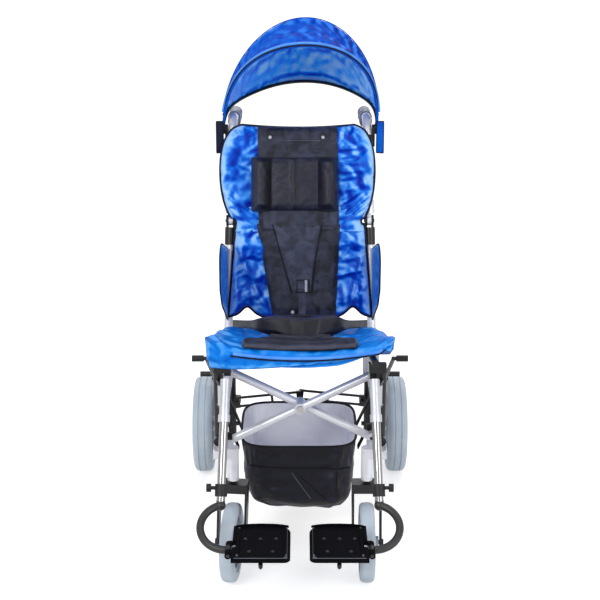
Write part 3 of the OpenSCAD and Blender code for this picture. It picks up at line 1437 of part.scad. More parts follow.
left_rear_stay();
right_rear_stay();
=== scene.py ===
# %% [markdown]
# # A special needs buggy, dressed in Blender
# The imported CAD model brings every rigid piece: tubes, forks, wheels, brakes and legrests. This lesson
# gives those pieces their finishes and sews the soft goods round them: a canopy, a two-part back cover
# with a headrest, a sling seat with its insert and belt, two arm guards and a storage bag. Everything is
# in metres and in the CAD frame, so a piece goes where the CAD says and nothing has to be fitted.

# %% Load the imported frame
import math

import bmesh
import bpy
import numpy as np
from mathutils import Matrix, Vector, noise


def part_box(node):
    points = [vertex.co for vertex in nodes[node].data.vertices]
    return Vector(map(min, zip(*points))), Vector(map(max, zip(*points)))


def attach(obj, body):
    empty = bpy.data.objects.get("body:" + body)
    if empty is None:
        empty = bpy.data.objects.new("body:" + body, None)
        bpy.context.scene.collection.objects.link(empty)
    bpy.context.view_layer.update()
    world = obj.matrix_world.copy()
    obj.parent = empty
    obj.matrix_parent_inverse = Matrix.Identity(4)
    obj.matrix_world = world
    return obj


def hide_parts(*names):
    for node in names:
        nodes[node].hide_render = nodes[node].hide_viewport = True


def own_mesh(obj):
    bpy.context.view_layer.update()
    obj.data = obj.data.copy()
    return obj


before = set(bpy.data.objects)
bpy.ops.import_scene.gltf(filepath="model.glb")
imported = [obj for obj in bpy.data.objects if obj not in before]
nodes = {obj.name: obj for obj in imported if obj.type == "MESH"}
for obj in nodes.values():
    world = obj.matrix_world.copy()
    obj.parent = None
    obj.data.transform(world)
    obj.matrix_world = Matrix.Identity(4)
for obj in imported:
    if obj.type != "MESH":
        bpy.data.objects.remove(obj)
scene = bpy.context.scene
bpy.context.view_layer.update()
MM = 0.001

# %% [markdown]
# ## Camera
# The photograph was taken from in front, a little above the canopy, with a longish lens. The place and
# the tilt were found by matching the wheels' known sizes and heights, so no lens shift is needed.

# %% Camera
IMAGE_PX = 600
FOCAL_PX = 1269
SENSOR_MM = 36
CAMERA_AT = (0, -2.849185, 1.454)
CAMERA_DOWN = 17.16

camera_data = bpy.data.cameras.new("photo_camera")
camera_data.sensor_width = SENSOR_MM
camera_data.lens = FOCAL_PX * SENSOR_MM / IMAGE_PX
camera = bpy.data.objects.new("photo_camera", camera_data)
camera.location = CAMERA_AT
camera.rotation_euler = (math.radians(90 - CAMERA_DOWN), 0, 0)
scene.collection.objects.link(camera)
scene.camera = camera
scene.view_settings.view_transform = "Standard"
print("camera lens", round(camera_data.lens, 2), "mm")

# %% [markdown]
# ## Floor and light
# A cut-out product picture has a white ground. The floor shows white to the camera and to reflections,
# but part of that white is real diffuse light, so the shadow of the wheels stays on it. An emission plane
# alone would swallow the shadow. The lamps are four large soft boxes, as in a studio, and just strong
# enough that a colour renders about as it is written.

# %% Floor
def seen_directly(tree):
    """One for camera, glossy and transmission rays, and nothing for the rest."""
    path = tree.nodes.new("ShaderNodeLightPath")
    total = path.outputs["Is Camera Ray"]
    for name in ("Is Glossy Ray", "Is Transmission Ray"):
        more = tree.nodes.new("ShaderNodeMath")
        more.operation = "MAXIMUM"
        tree.links.new(total, more.inputs[0])
        tree.links.new(path.outputs[name], more.inputs[1])
        total = more.outputs[0]
    return total


FLOOR_HALF, FLOOR_GREY = 30, 0.8
# the floor's own glow by the distance from the buggy: less of it near by, where the lamps already make
# the floor white and the shadow lies
GLOW = {"From Min": 0.6, "From Max": 3.2, "To Min": 0.54, "To Max": 0.74}
bm = bmesh.new()
bmesh.ops.create_grid(bm, x_segments=2, y_segments=2, size=FLOOR_HALF)
floor_mesh = bpy.data.meshes.new("floor")
bm.to_mesh(floor_mesh)
bm.free()
floor = bpy.data.objects.new("floor", floor_mesh)
scene.collection.objects.link(floor)
floor_finish = bpy.data.materials.new("pale_floor")
floor_finish.use_nodes = True
tree = floor_finish.node_tree
tree.nodes.remove(tree.nodes["Principled BSDF"])
matt = tree.nodes.new("ShaderNodeBsdfDiffuse")
matt.inputs["Color"].default_value = (FLOOR_GREY, FLOOR_GREY, FLOOR_GREY, 1)
glow = tree.nodes.new("ShaderNodeEmission")
spot = tree.nodes.new("ShaderNodeTexCoord")
away = tree.nodes.new("ShaderNodeVectorMath")
away.operation = "LENGTH"
fade = tree.nodes.new("ShaderNodeMapRange")
for socket, value in GLOW.items():
    fade.inputs[socket].default_value = value
tree.links.new(spot.outputs["Object"], away.inputs[0])
tree.links.new(away.outputs["Value"], fade.inputs["Value"])
tree.links.new(fade.outputs["Result"], glow.inputs["Strength"])
both = tree.nodes.new("ShaderNodeAddShader")
tree.links.new(matt.outputs[0], both.inputs[0])
tree.links.new(glow.outputs[0], both.inputs[1])
pick = tree.nodes.new("ShaderNodeMixShader")
tree.links.new(seen_directly(tree), pick.inputs[0])
tree.links.new(matt.outputs[0], pick.inputs[1])
tree.links.new(both.outputs[0], pick.inputs[2])
tree.links.new(pick.outputs[0], tree.nodes["Material Output"].inputs["Surface"])
floor_mesh.materials.append(floor_finish)
print("floor reaches", FLOOR_HALF, "m each way")

# %% World
AMBIENT = 0.46
world = bpy.data.worlds.new("studio")
scene.world = world
world.use_nodes = True
tree = world.node_tree
sky = tree.nodes["Background"]
sky.inputs["Color"].default_value = (1, 1, 1, 1)
level = tree.nodes.new("ShaderNodeMath")
level.operation = "MAXIMUM"
level.inputs[1].default_value = AMBIENT
tree.links.new(seen_directly(tree), level.inputs[0])
tree.links.new(level.outputs[0], sky.inputs["Strength"])
print("world light", AMBIENT)

# %% Lamps
# place, aim, size in metres and power in watts
LAMPS = {
    "key_box": ((-1.5, -2.7, 2.3), (0, 0, 0.75), 1.3, 62),
    "fill_box": ((2.2, -2.3, 1.5), (0, 0, 0.6), 1.6, 34),
    "top_box": ((0.2, 0.3, 3.4), (0, 0, 0.5), 2.6, 26),
    "back_box": ((0.6, 2.8, 2.0), (0, 0, 0.9), 2.0, 24),
}
for name, (place, aim, size, watts) in LAMPS.items():
    lamp = bpy.data.lights.new(name, "AREA")
    lamp.size = size
    lamp.energy = watts
    holder = bpy.data.objects.new(name, lamp)
    holder.location = place
    holder.rotation_euler = (Vector(aim) - Vector(place)).to_track_quat("-Z", "Y").to_euler()
    scene.collection.objects.link(holder)
print("lamps:", ", ".join(LAMPS))

# %% [markdown]
# ## Finishes
# Each finish is one Principled shader. Slow noise shifts its colour, and fine patterns give the weave,
# the moulded grain or the paint's orange peel as a bump. Cloth patterns follow the piece's own UV map,
# which is laid in metres, so threads keep their size. Rigid finishes read Object coordinates. Shiny nylon
# gets painted highlights and painted shade: a tone noted on every point of such a cloth, from how far its
# surface turns towards a light, picks a pale colour on the facets of its crinkles and deep blue in the
# furrows, because a plain noise would ignore the folds.

# %% Colours and nodes
def srgb(r, g, b):
    """A colour given on a 0 to 255 scale, as the linear values that a shader takes."""
    def linear(c):
        c /= 255
        return c / 12.92 if c <= 0.04045 else ((c + 0.055) / 1.055) ** 2.4
    return (linear(r), linear(g), linear(b), 1)


def node(tree, kind, **values):
    """Adds a shader node and sets its sockets or properties by name."""
    made = tree.nodes.new("ShaderNode" + kind)
    for key, value in values.items():
        if key in made.inputs:
            made.inputs[key].default_value = value
        else:
            setattr(made, key, value)
    return made


def new_finish(name, roughness, metallic=0.0, specular=0.5):
    """An empty finish: the material, its node tree and its shader."""
    material = bpy.data.materials.new(name)
    material.use_nodes = True
    tree = material.node_tree
    shader = tree.nodes["Principled BSDF"]
    shader.inputs["Roughness"].default_value = roughness
    shader.inputs["Metallic"].default_value = metallic
    shader.inputs["Specular IOR Level"].default_value = specular
    return material, tree, shader


print("a mid grey of 128 is", round(srgb(128, 128, 128)[0], 3), "in linear light")


# %% Colour and bump of a finish
def mottle(tree, shader, place, low, high, scale, spread=(0.35, 0.65)):
    """Shifts the base colour between two tones with slow noise."""
    cloud = node(tree, "TexNoise", Scale=scale, Detail=4.0, Distortion=0.8)
    ramp = node(tree, "ValToRGB")
    ramp.color_ramp.elements[0].position, ramp.color_ramp.elements[1].position = spread
    ramp.color_ramp.elements[0].color = low
    ramp.color_ramp.elements[1].color = high
    tree.links.new(place, cloud.inputs["Vector"])
    tree.links.new(cloud.outputs["Fac"], ramp.inputs["Fac"])
    tree.links.new(ramp.outputs["Color"], shader.inputs["Base Color"])
    return cloud


def painted_highlight_ramp(tree, shader, place, stops, scale):
    """Paints highlights and shade on crinkled cloth: its colour follows the tone noted on its points, from deep in
    the furrows to pale on the facets turned to a light.
    """
    cloud = node(tree, "TexNoise", Scale=scale, Detail=4.0, Distortion=0.8)
    tree.links.new(place, cloud.inputs["Vector"])
    drift = node(tree, "MapRange")
    for socket, value in (("From Min", 0.3), ("From Max", 0.7), ("To Min", -0.1), ("To Max", 0.1)):
        drift.inputs[socket].default_value = value
    tree.links.new(cloud.outputs["Fac"], drift.inputs["Value"])
    level = node(tree, "Attribute", attribute_name="tone")
    total = node(tree, "Math", operation="ADD")
    tree.links.new(level.outputs["Fac"], total.inputs[0])
    tree.links.new(drift.outputs["Result"], total.inputs[1])
    ramp = node(tree, "ValToRGB")
    marks = ramp.color_ramp.elements
    while len(marks) < len(stops):
        marks.new(0.5)
    for mark, (position, colour) in zip(marks, stops):
        mark.position, mark.color = position, colour
    tree.links.new(total.outputs[0], ramp.inputs["Fac"])
    tree.links.new(ramp.outputs["Color"], shader.inputs["Base Color"])
    return cloud


def add_bump(tree, shader, height, distance, strength=1.0):
    """Puts one more bump in front of those that the shader already has."""
    bump = node(tree, "Bump", Strength=strength, Distance=distance)
    tree.links.new(height, bump.inputs["Height"])
    if shader.inputs["Normal"].is_linked:
        tree.links.new(shader.inputs["Normal"].links[0].from_socket, bump.inputs["Normal"])
    tree.links.new(bump.outputs["Normal"], shader.inputs["Normal"])


def patchy_gloss(tree, shader, cloud, low, high):
    """Lets the roughness wander with the colour's noise."""
    span = node(tree, "MapRange")
    span.inputs["To Min"].default_value = low
    span.inputs["To Max"].default_value = high
    tree.links.new(cloud.outputs["Fac"], span.inputs["Value"])
    tree.links.new(span.outputs["Result"], shader.inputs["Roughness"])


print("noise, tones, bump and gloss ready")

# %% Cloth and hard finishes
# period of Blender's sine bands at a scale of 1, in metres
BAND = math.tau / 20
SHEEN_TINT = (0.7, 0.72, 0.95, 1)


def cloth_finish(name, thread, rough, colours=None, stops=None, crinkle=0.0, shine=0.2, sheen=0.0,
        patch=(14.0, 0.35, 0.65)):
    """Woven cloth: two sets of threads across each other, slow colour shifts and small crinkles.

    It shifts between two colours, or takes the stops of a cloth with painted highlights and painted shade.
    A patch is the noise's scale and the part of its range in which the colours cross over."""
    material, tree, shader = new_finish(name, rough, specular=shine)
    shader.inputs["Sheen Weight"].default_value = sheen
    shader.inputs["Sheen Roughness"].default_value = 0.4
    shader.inputs["Sheen Tint"].default_value = SHEEN_TINT
    spot = node(tree, "TexCoord")
    if stops:
        cloud = painted_highlight_ramp(tree, shader, spot.outputs["Object"], stops, patch[0])
    else:
        cloud = mottle(tree, shader, spot.outputs["Object"], *colours, patch[0], patch[1:])
    patchy_gloss(tree, shader, cloud, rough - 0.06, rough + 0.08)
    laid = node(tree, "UVMap", uv_map="weave")
    over_under = node(tree, "Math", operation="MULTIPLY")
    for slot, way in enumerate(("X", "Y")):
        threads = node(tree, "TexWave", bands_direction=way, Scale=BAND / thread)
        tree.links.new(laid.outputs["UV"], threads.inputs["Vector"])
        tree.links.new(threads.outputs["Fac"], over_under.inputs[slot])
    add_bump(tree, shader, over_under.outputs[0], 0.12 * thread, 0.5)
    if crinkle:
        rumple = node(tree, "TexNoise", Scale=55.0, Detail=5.0, Roughness=0.6, Distortion=0.6)
        tree.links.new(spot.outputs["Object"], rumple.inputs["Vector"])
        add_bump(tree, shader, rumple.outputs["Fac"], crinkle)
    return material


def hard_finish(name, low, high, rough, metallic=0.0, grain=(900.0, 0.00006), wander=0.06, shine=0.5):
    """Painted, plated or moulded surface: slow tone shifts, and a fine grain as bump."""
    material, tree, shader = new_finish(name, rough, metallic, shine)
    spot = node(tree, "TexCoord")
    cloud = mottle(tree, shader, spot.outputs["Object"], low, high, 9.0)
    patchy_gloss(tree, shader, cloud, rough - wander, rough + wander)
    speck = node(tree, "TexNoise", Scale=grain[0], Detail=2.0)
    tree.links.new(spot.outputs["Object"], speck.inputs["Vector"])
    add_bump(tree, shader, speck.outputs["Fac"], grain[1], 0.6)
    return material


print("cloth and hard finishes can be mixed")

# %% [markdown]
# The canopy, the wings and the seat are blue nylon, the strip is a black mesh, and the bag is black nylon
# with a pale coat inside. Pictures of cloth could be wrapped on, but a picture holds one light. Threads and
# crinkles from nodes look right under any light, while the tones paint highlights and shade for fixed lights.

# %% Cloths of this buggy
# from painted shade in the furrows to painted highlights on the facets that face a light; the canopy notes
# those of its lining, so the painted tones of its outside run the other way
WING_PAINTED_LIGHT = [(0, srgb(0, 38, 160)), (0.3, srgb(0, 66, 188)), (0.55, srgb(10, 98, 212)),
    (0.75, srgb(60, 142, 238)), (1, srgb(150, 198, 254))]
SEAT_PAINTED_LIGHT = [(0, srgb(0, 62, 168)), (0.4, srgb(0, 98, 198)), (0.7, srgb(8, 120, 216)), (1, srgb(84, 162, 238))]
CANOPY_PAINTED_LIGHT = [(0, srgb(52, 126, 228)), (0.28, srgb(0, 84, 204)), (0.55, srgb(0, 62, 180)), (1, srgb(0, 38, 148))]
LINING_PAINTED_LIGHT = [(0, srgb(0, 66, 206)), (0.35, srgb(0, 118, 250)), (0.6, srgb(36, 158, 255)),
    (1, srgb(150, 210, 255))]
BAG_PAINTED_LIGHT = [(0, srgb(2, 2, 8)), (0.45, srgb(9, 10, 19)), (0.75, srgb(26, 27, 40)), (1, srgb(70, 72, 88))]
PAD_PAINTED_LIGHT = [(0, srgb(3, 4, 11)), (0.4, srgb(10, 11, 22)), (0.7, srgb(28, 30, 46)), (1, srgb(54, 56, 74))]
CRINKLED, MESHED = (30.0, 0.41, 0.6), (36.0, 0.36, 0.64)
NYLON = 1.1 * MM

wing_nylon = cloth_finish("wing_nylon", NYLON, 0.36, stops=WING_PAINTED_LIGHT, crinkle=1.6 * MM, shine=0.12, patch=CRINKLED)
# the seat's nylon is a paler copy of the wings' blue: painted light on the seat's top, which catches the light from
# above; its tones add painted highlights
painted_light_seat_nylon = cloth_finish("painted_light_seat_nylon", NYLON, 0.42, stops=SEAT_PAINTED_LIGHT, crinkle=1.6 * MM, shine=0.1, patch=CRINKLED)
canopy_nylon = cloth_finish("canopy_nylon", NYLON, 0.6, stops=CANOPY_PAINTED_LIGHT, crinkle=1.6 * MM, shine=0.06,
    patch=CRINKLED)
tab_nylon = cloth_finish("tab_nylon", NYLON, 0.6, (srgb(0, 60, 178), srgb(0, 92, 206)), crinkle=1.6 * MM, shine=0.06)
# the canopy's lining, paler than its outside: painted light standing in for the light that comes through the thin
# nylon, with painted highlights from its tones
painted_light_lining = cloth_finish("painted_light_lining", NYLON, 0.4, stops=LINING_PAINTED_LIGHT, crinkle=2.0 * MM, shine=0.08,
    patch=CRINKLED)
navy_binding = cloth_finish("navy_binding", 1.6 * MM, 0.7, (srgb(6, 9, 28), srgb(13, 18, 46)))
black_mesh = cloth_finish("black_mesh", 2.6 * MM, 0.6, (srgb(18, 20, 31), srgb(50, 53, 71)), crinkle=1.0 * MM,
    shine=0.25, sheen=0.12, patch=MESHED)
# a paler copy of the black mesh for the harness panel and the strap ends: painted sheen
painted_sheen_mesh = cloth_finish("painted_sheen_mesh", 2.6 * MM, 0.6, (srgb(36, 39, 56), srgb(62, 66, 86)), crinkle=0.8 * MM,
    shine=0.25, sheen=0.15, patch=MESHED)
black_pad = cloth_finish("black_pad", 1.4 * MM, 0.46, stops=PAD_PAINTED_LIGHT, crinkle=0.6 * MM, shine=0.25, sheen=0.08,
    patch=CRINKLED)
bag_nylon = cloth_finish("bag_nylon", 1.2 * MM, 0.42, stops=BAG_PAINTED_LIGHT, crinkle=2.0 * MM, shine=0.2, sheen=0.02,
    patch=CRINKLED)
bag_lining = cloth_finish("bag_lining", 1.2 * MM, 0.6, (srgb(238, 238, 248), srgb(252, 252, 255)), crinkle=0.8 * MM)
webbing = cloth_finish("webbing", 1.8 * MM, 0.72, (srgb(12, 12, 19), srgb(23, 23, 32)))
thread_grey = cloth_finish("thread_grey", 0.6 * MM, 0.8, (srgb(70, 72, 88), srgb(92, 94, 110)))
# pale blue for the canopy's front roll and the seat's front welt: a painted highlight along their rounded edges
painted_highlight_piping = cloth_finish("painted_highlight_piping", 0.9 * MM, 0.5, (srgb(58, 128, 226), srgb(92, 156, 240)))
print("cloths from", wing_nylon.name, "to", painted_highlight_piping.name)

# %% [markdown]
# The frame wears silver paint, which is only partly metallic, and plated tubes are wholly so. Plastic and
# rubber differ in their gloss and in the grain of the mould. A plain grey would do for each, but a faint
# shift of tone and gloss keeps large smooth surfaces from looking drawn.

# %% Paint, plating, plastic and rubber
silver_paint = hard_finish("silver_paint", srgb(198, 199, 206), srgb(218, 219, 226), 0.34, 0.3)
hanger_paint = hard_finish("hanger_paint", srgb(176, 178, 186), srgb(196, 198, 206), 0.34, 0.3)
# plating darker than polished chrome: painted shade for the dark surroundings it would reflect
chrome = hard_finish("chrome", srgb(146, 144, 144), srgb(176, 174, 174), 0.12, 1.0, (160.0, 0.00002), 0.03)
black_metal = hard_finish("black_metal", srgb(11, 11, 14), srgb(21, 21, 25), 0.36, 0.0, (700.0, 0.00012), shine=0.35)
black_plastic = hard_finish("black_plastic", srgb(12, 12, 16), srgb(23, 23, 28), 0.5, 0.0, (1400.0, 0.0001),
    shine=0.3)
# grey for the footplates' raised ribs and a line along their front edge: a painted highlight on the black plate
painted_highlight_grey = hard_finish("painted_highlight_grey", srgb(70, 72, 82), srgb(92, 94, 104), 0.5, 0.0, (1200.0, 0.0001), shine=0.2)
tread_plastic = hard_finish("tread_plastic", srgb(3, 3, 6), srgb(9, 9, 14), 0.7, 0.0, (900.0, 0.0002), shine=0.04)
grip_rubber = hard_finish("grip_rubber", srgb(120, 124, 138), srgb(146, 150, 164), 0.6, 0.0, (500.0, 0.00025),
    shine=0.2)
grey_tyre = hard_finish("grey_tyre", srgb(176, 189, 202), srgb(196, 208, 219), 0.55, 0.0, (420.0, 0.0002))
hub_plastic = hard_finish("hub_plastic", srgb(150, 158, 170), srgb(172, 180, 190), 0.45, 0.0, (1100.0, 0.00008))
buckle_grey = hard_finish("buckle_grey", srgb(150, 152, 164), srgb(178, 180, 190), 0.42, 0.0, (1200.0, 0.00008))
print("finishes:", len(bpy.data.materials))

# %% [markdown]
# A leg tube is one CAD piece, chromed above and with a black sleeve on the loop below. Its faces could be
# shared between two materials. A height inside one material does the same and leaves the CAD mesh alone.

# %% Leg tubes in two finishes
def split_finish(name, upper, lower, height):
    """Two finishes on one CAD piece, each a colour, roughness and metalness, that meet at a height."""
    material, tree, shader = new_finish(name, 0.3, 0.0)
    spot = node(tree, "TexCoord")
    apart = node(tree, "SeparateXYZ")
    tree.links.new(spot.outputs["Object"], apart.inputs[0])
    above = node(tree, "Math", operation="GREATER_THAN")
    above.inputs[1].default_value = height
    tree.links.new(apart.outputs["Z"], above.inputs[0])
    tone = node(tree, "MixRGB")
    tone.inputs["Color1"].default_value, tone.inputs["Color2"].default_value = lower[0], upper[0]
    tree.links.new(above.outputs[0], tone.inputs["Fac"])
    tree.links.new(tone.outputs[0], shader.inputs["Base Color"])
    for k, socket in ((1, "Roughness"), (2, "Metallic")):
        span = node(tree, "MapRange")
        span.inputs["To Min"].default_value, span.inputs["To Max"].default_value = lower[k], upper[k]
        tree.links.new(above.outputs[0], span.inputs["Value"])
        tree.links.new(span.outputs["Result"], shader.inputs[socket])
    speck = node(tree, "TexNoise", Scale=500.0, Detail=2.0)
    tree.links.new(spot.outputs["Object"], speck.inputs["Vector"])
    add_bump(tree, shader, speck.outputs["Fac"], 0.00004, 0.5)
    return material


# the straight part of a leg tube is chromed, its loop below that height has a black sleeve
LOOP_TOP = 0.237
# the chromed colour is darker than polished chrome: painted shade for the dark reflections along the tube
CHROMED, SLEEVED = (srgb(142, 141, 142), 0.13, 1.0), (srgb(14, 14, 17), 0.45, 0.0)
leg_finish = split_finish("leg_finish", CHROMED, SLEEVED, LOOP_TOP)
print("the leg tubes' sleeve ends", LOOP_TOP, "m above the floor")

# %% [markdown]
# ## Rigid pieces from the CAD
# The tubes and castings keep their CAD shapes. Each one gets the finish that the photograph shows:
# silver paint on the side frames and cross brace, chrome on the sliding leg tubes, black on the rest. They
# could be built again here, but then the scene and the solids would drift apart.

# %% Finishes of the CAD pieces
BOTH = ("left_", "right_")
# a finish, the pieces that come in pairs and those that come once
WEARS = [
    (silver_paint, ["side_rail", "lower_cane", "caster_housing", "upper_cane"], ["cross_arm_a", "cross_arm_b"]),
    (hanger_paint, ["legrest_hanger"], []),
    (chrome, [], ["cross_bolt"]),
    (leg_finish, ["leg_tube"], []),
    (black_metal, ["lower_rail", "front_post", "rear_post", "seat_rail", "caster_fork", "brake_lever",
        "rear_stay", "cane_hinge"], []),
    (black_plastic, ["leg_clamp", "canopy_clamp", "brake_grip"], []),
    (tread_plastic, ["footplate"], []),
    (grip_rubber, ["push_grip"], []),
    (grey_tyre, ["caster_tyre", "rear_tyre"], []),
    (hub_plastic, ["caster_hub", "rear_hub"], []),
]
for finish, pairs, singles in WEARS:
    for name in [side + piece for piece in pairs for side in BOTH] + singles:
        nodes[name].data.materials.clear()
        nodes[name].data.materials.append(finish)
print("CAD pieces finished:", sum(2 * len(pairs) + len(singles) for finish, pairs, singles in WEARS))

# %% [markdown]
# ## Tools for soft goods
# A soft piece starts as a flat grid, like cloth on a cutting table. Each point is laid in place by a
# short rule in the piece's own measures. A pad is such a sheet pulled out to a second skin. Blender's
# cloth then lets the panel swell and crinkle between its seams, with a cap on how far a point may move.

# %% Places and curves
SIDES = (("left", -1), ("right", 1))
Y_SHIFT = -0.278185


def at(x, y, z):
    """A place given in millimetres from the caster axle, in the scene's metres."""
    return Vector((x * MM, y * MM + Y_SHIFT, z * MM))


def lookup(t, table):
    """A smooth curve through the table's points, by cubic pieces."""
    if t <= table[0][0]:
        return table[0][1]
    for k in range(len(table) - 1):
        (t0, a), (t1, b) = table[k], table[k + 1]
        if t <= t1:
            before = table[k - 1] if k else table[k]
            after = table[k + 2] if k + 2 < len(table) else table[k + 1]
            s = (t - t0) / (t1 - t0)
            m0 = (b - before[1]) / (t1 - before[0]) * (t1 - t0)
            m1 = (after[1] - a) / (after[0] - t0) * (t1 - t0)
            return (a * (2 * s**3 - 3 * s**2 + 1) + m0 * (s**3 - 2 * s**2 + s)
                + b * (3 * s**2 - 2 * s**3) + m1 * (s**3 - s**2))
    return table[-1][1]


def clip(v):
    return min(1.0, max(0.0, v))


def ease(v):
    v = clip(v)
    return v * v * (3 - 2 * v)


print("places count from the caster axle, at y", Y_SHIFT, "m")


# %% Cut, lay and keep cloth
def cut_sheet(nu, nv, size):
    """A flat grid whose points carry u and v from 0 to 1, with a UV map in metres."""
    bm = bmesh.new()
    bmesh.ops.create_grid(bm, x_segments=nu, y_segments=nv, size=1)
    u_layer, v_layer = bm.verts.layers.float.new("u"), bm.verts.layers.float.new("v")
    weave = bm.loops.layers.uv.new("weave")
    for vert in bm.verts:
        vert[u_layer], vert[v_layer] = (vert.co.x + 1) / 2, (vert.co.y + 1) / 2
    for face in bm.faces:
        for loop in face.loops:
            loop[weave].uv = (loop.vert[u_layer] * size[0], loop.vert[v_layer] * size[1])
    return bm, u_layer, v_layer


def keep(bm, name, finishes, body):
    """Turns a bmesh into a smooth piece that wears its finishes and rides a body."""
    mesh = bpy.data.meshes.new(name)
    bm.to_mesh(mesh)
    bm.free()
    mesh.shade_smooth()
    piece = bpy.data.objects.new(name, mesh)
    scene.collection.objects.link(piece)
    for finish in finishes:
        mesh.materials.append(finish)
    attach(piece, body)
    return piece


def lay_sheet(name, nu, nv, size, place, finishes, body):
    """An open sheet of cloth laid by place(u, v)."""
    bm, u_layer, v_layer = cut_sheet(nu, nv, size)
    for vert in bm.verts:
        vert.co = place(vert[u_layer], vert[v_layer])
    bmesh.ops.remove_doubles(bm, verts=bm.verts[:], dist=1e-6)
    return keep(bm, name, finishes, body)


def in_fixed_order(bm, key):
    """Numbers points by the key, and edges and faces by their points, because extrude leaves that to chance.

    Cloth reads them in turn, so without this it would settle a little differently in every run."""
    def by_points(part):
        return sorted(vert.index for vert in part.verts)

    for parts, rule in ((bm.verts, key), (bm.edges, by_points), (bm.faces, by_points)):
        for k, part in enumerate(sorted(parts, key=rule)):
            part.index = k
        parts.sort()
        parts.index_update()


def lay_pad(name, nu, nv, size, front, back, finishes, body):
    """A closed pad: a front skin laid by front(u, v), pulled out to a back skin laid by back(u, v)."""
    bm, u_layer, v_layer = cut_sheet(nu, nv, size)
    for vert in bm.verts:
        vert.co = front(vert[u_layer], vert[v_layer])
    pulled = bmesh.ops.extrude_face_region(bm, geom=bm.faces[:], use_keep_orig=True)
    behind = {part for part in pulled["geom"] if isinstance(part, bmesh.types.BMVert)}
    for vert in behind:
        vert.co = back(vert[u_layer], vert[v_layer])
    bmesh.ops.recalc_face_normals(bm, faces=bm.faces[:])
    in_fixed_order(bm, lambda vert: (vert in behind, vert[v_layer], vert[u_layer]))
    return keep(bm, name, finishes, body)


def params(piece):
    """The u and v that every point of a piece was cut with."""
    mesh = piece.data
    return [(a.value, b.value) for a, b in zip(mesh.attributes["u"].data, mesh.attributes["v"].data)]


def round_edge(place, bottom, side, top, edges="brtl"):
    """Places along the edges of a sheet, once round: its bottom, right, top and left edge, each in steps."""
    runs = {
        "b": [(k / bottom, 0) for k in range(bottom)],
        "r": [(1, k / side) for k in range(side)],
        "t": [(1 - k / top, 1) for k in range(top)],
        "l": [(0, 1 - k / side) for k in range(side)],
    }
    return [place(u, v) for edge in edges for u, v in runs[edge]]


print("cloth can be cut and laid")


# %% Let cloth settle
def settle(piece, sewn, frames=16, pressure=0.0, slack=0.0, weight=0.0, cap=0.01, smooth=1):
    """Runs cloth on a piece with its sewn points held, and keeps the shape with every move capped."""
    mesh = piece.data
    start = [v.co.copy() for v in mesh.vertices]
    held = set(sewn)
    piece.vertex_groups.new(name="sewn").add(list(held), 1.0, "REPLACE")
    cloth = piece.modifiers.new("settle", "CLOTH")
    how = cloth.settings
    how.quality = 5
    how.mass = 0.12
    how.air_damping = 3
    how.tension_stiffness = how.compression_stiffness = 18
    how.shear_stiffness = 6
    how.bending_stiffness = 0.25
    how.vertex_group_mass = "sewn"
    how.shrink_min = -slack
    how.use_pressure = pressure > 0
    how.uniform_pressure_force = pressure
    how.effector_weights.gravity = weight
    cloth.collision_settings.use_collision = False
    cloth.point_cache.frame_start = 1
    cloth.point_cache.frame_end = frames
    for tick in range(1, frames + 1):
        scene.frame_set(tick)
    done = piece.evaluated_get(bpy.context.evaluated_depsgraph_get())
    moved = [v.co.copy() for v in done.data.vertices]
    piece.modifiers.remove(cloth)
    piece.vertex_groups.clear()
    scene.frame_set(1)
    for k, v in enumerate(mesh.vertices):
        if k not in held:
            step = moved[k] - start[k]
            v.co = start[k] + step * min(1.0, cap / max(step.length, 1e-9))
    bm = bmesh.new()
    bm.from_mesh(mesh)
    bm.verts.ensure_lookup_table()
    loose = [v for v in bm.verts if v.index not in held]
    for _ in range(smooth):
        bmesh.ops.smooth_vert(bm, verts=loose, factor=0.4, use_axis_x=True, use_axis_y=True, use_axis_z=True)
    bm.to_mesh(mesh)
    bm.free()
    far = max((moved[k] - start[k]).length for k in range(len(start)))
    print(piece.name, "settled, furthest move", round(far / MM, 1), "mm")


# %% Thickness and tubes
def refine(piece, levels=1):
    """One live subdivision, the same in view and render."""
    smooth = piece.modifiers.new("refine", "SUBSURF")
    smooth.levels = smooth.render_levels = levels


def thicken(piece, wall, lining=0):
    """A live cloth thickness towards the inside, with an own finish on the inner face."""
    shell = piece.modifiers.new("wall", "SOLIDIFY")
    shell.thickness = wall
    shell.offset = -1
    shell.material_offset = lining


def tube(name, points, radius, finish, body, ring=False, radii=None):
    """A round cord, rod or piping through the points, made as a curve and kept as a mesh."""
    curve = bpy.data.curves.new(name, "CURVE")
    curve.dimensions = "3D"
    curve.bevel_depth = radius
    curve.bevel_resolution = 3
    curve.use_fill_caps = True
    spline = curve.splines.new("POLY")
    spline.points.add(len(points) - 1)
    spline.use_cyclic_u = ring
    for k, place in enumerate(points):
        spline.points[k].co = (*place, 1)
        spline.points[k].radius = radii[k] if radii else 1
    path = bpy.data.objects.new(name + "_path", curve)
    scene.collection.objects.link(path)
    view = bpy.context.evaluated_depsgraph_get()
    mesh = bpy.data.meshes.new_from_object(path.evaluated_get(view))
    bpy.data.objects.remove(path)
    mesh.name = name
    mesh.shade_smooth()
    if not mesh.uv_layers:
        mesh.uv_layers.new(name="weave")
    mesh.uv_layers[0].name = "weave"
    mesh.materials.clear()
    mesh.materials.append(finish)
    piece = bpy.data.objects.new(name, mesh)
    scene.collection.objects.link(piece)
    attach(piece, body)
    return piece


print("thickness and tubes ready")

# %% [markdown]
# Thin nylon crinkles in sharp little ridges. They could be sculpted by hand, but ridged noise raises such
# crests and furrows all over. The tone of each point is then read from the way its surface turns towards a
# light, and paints a highlight or shade there.

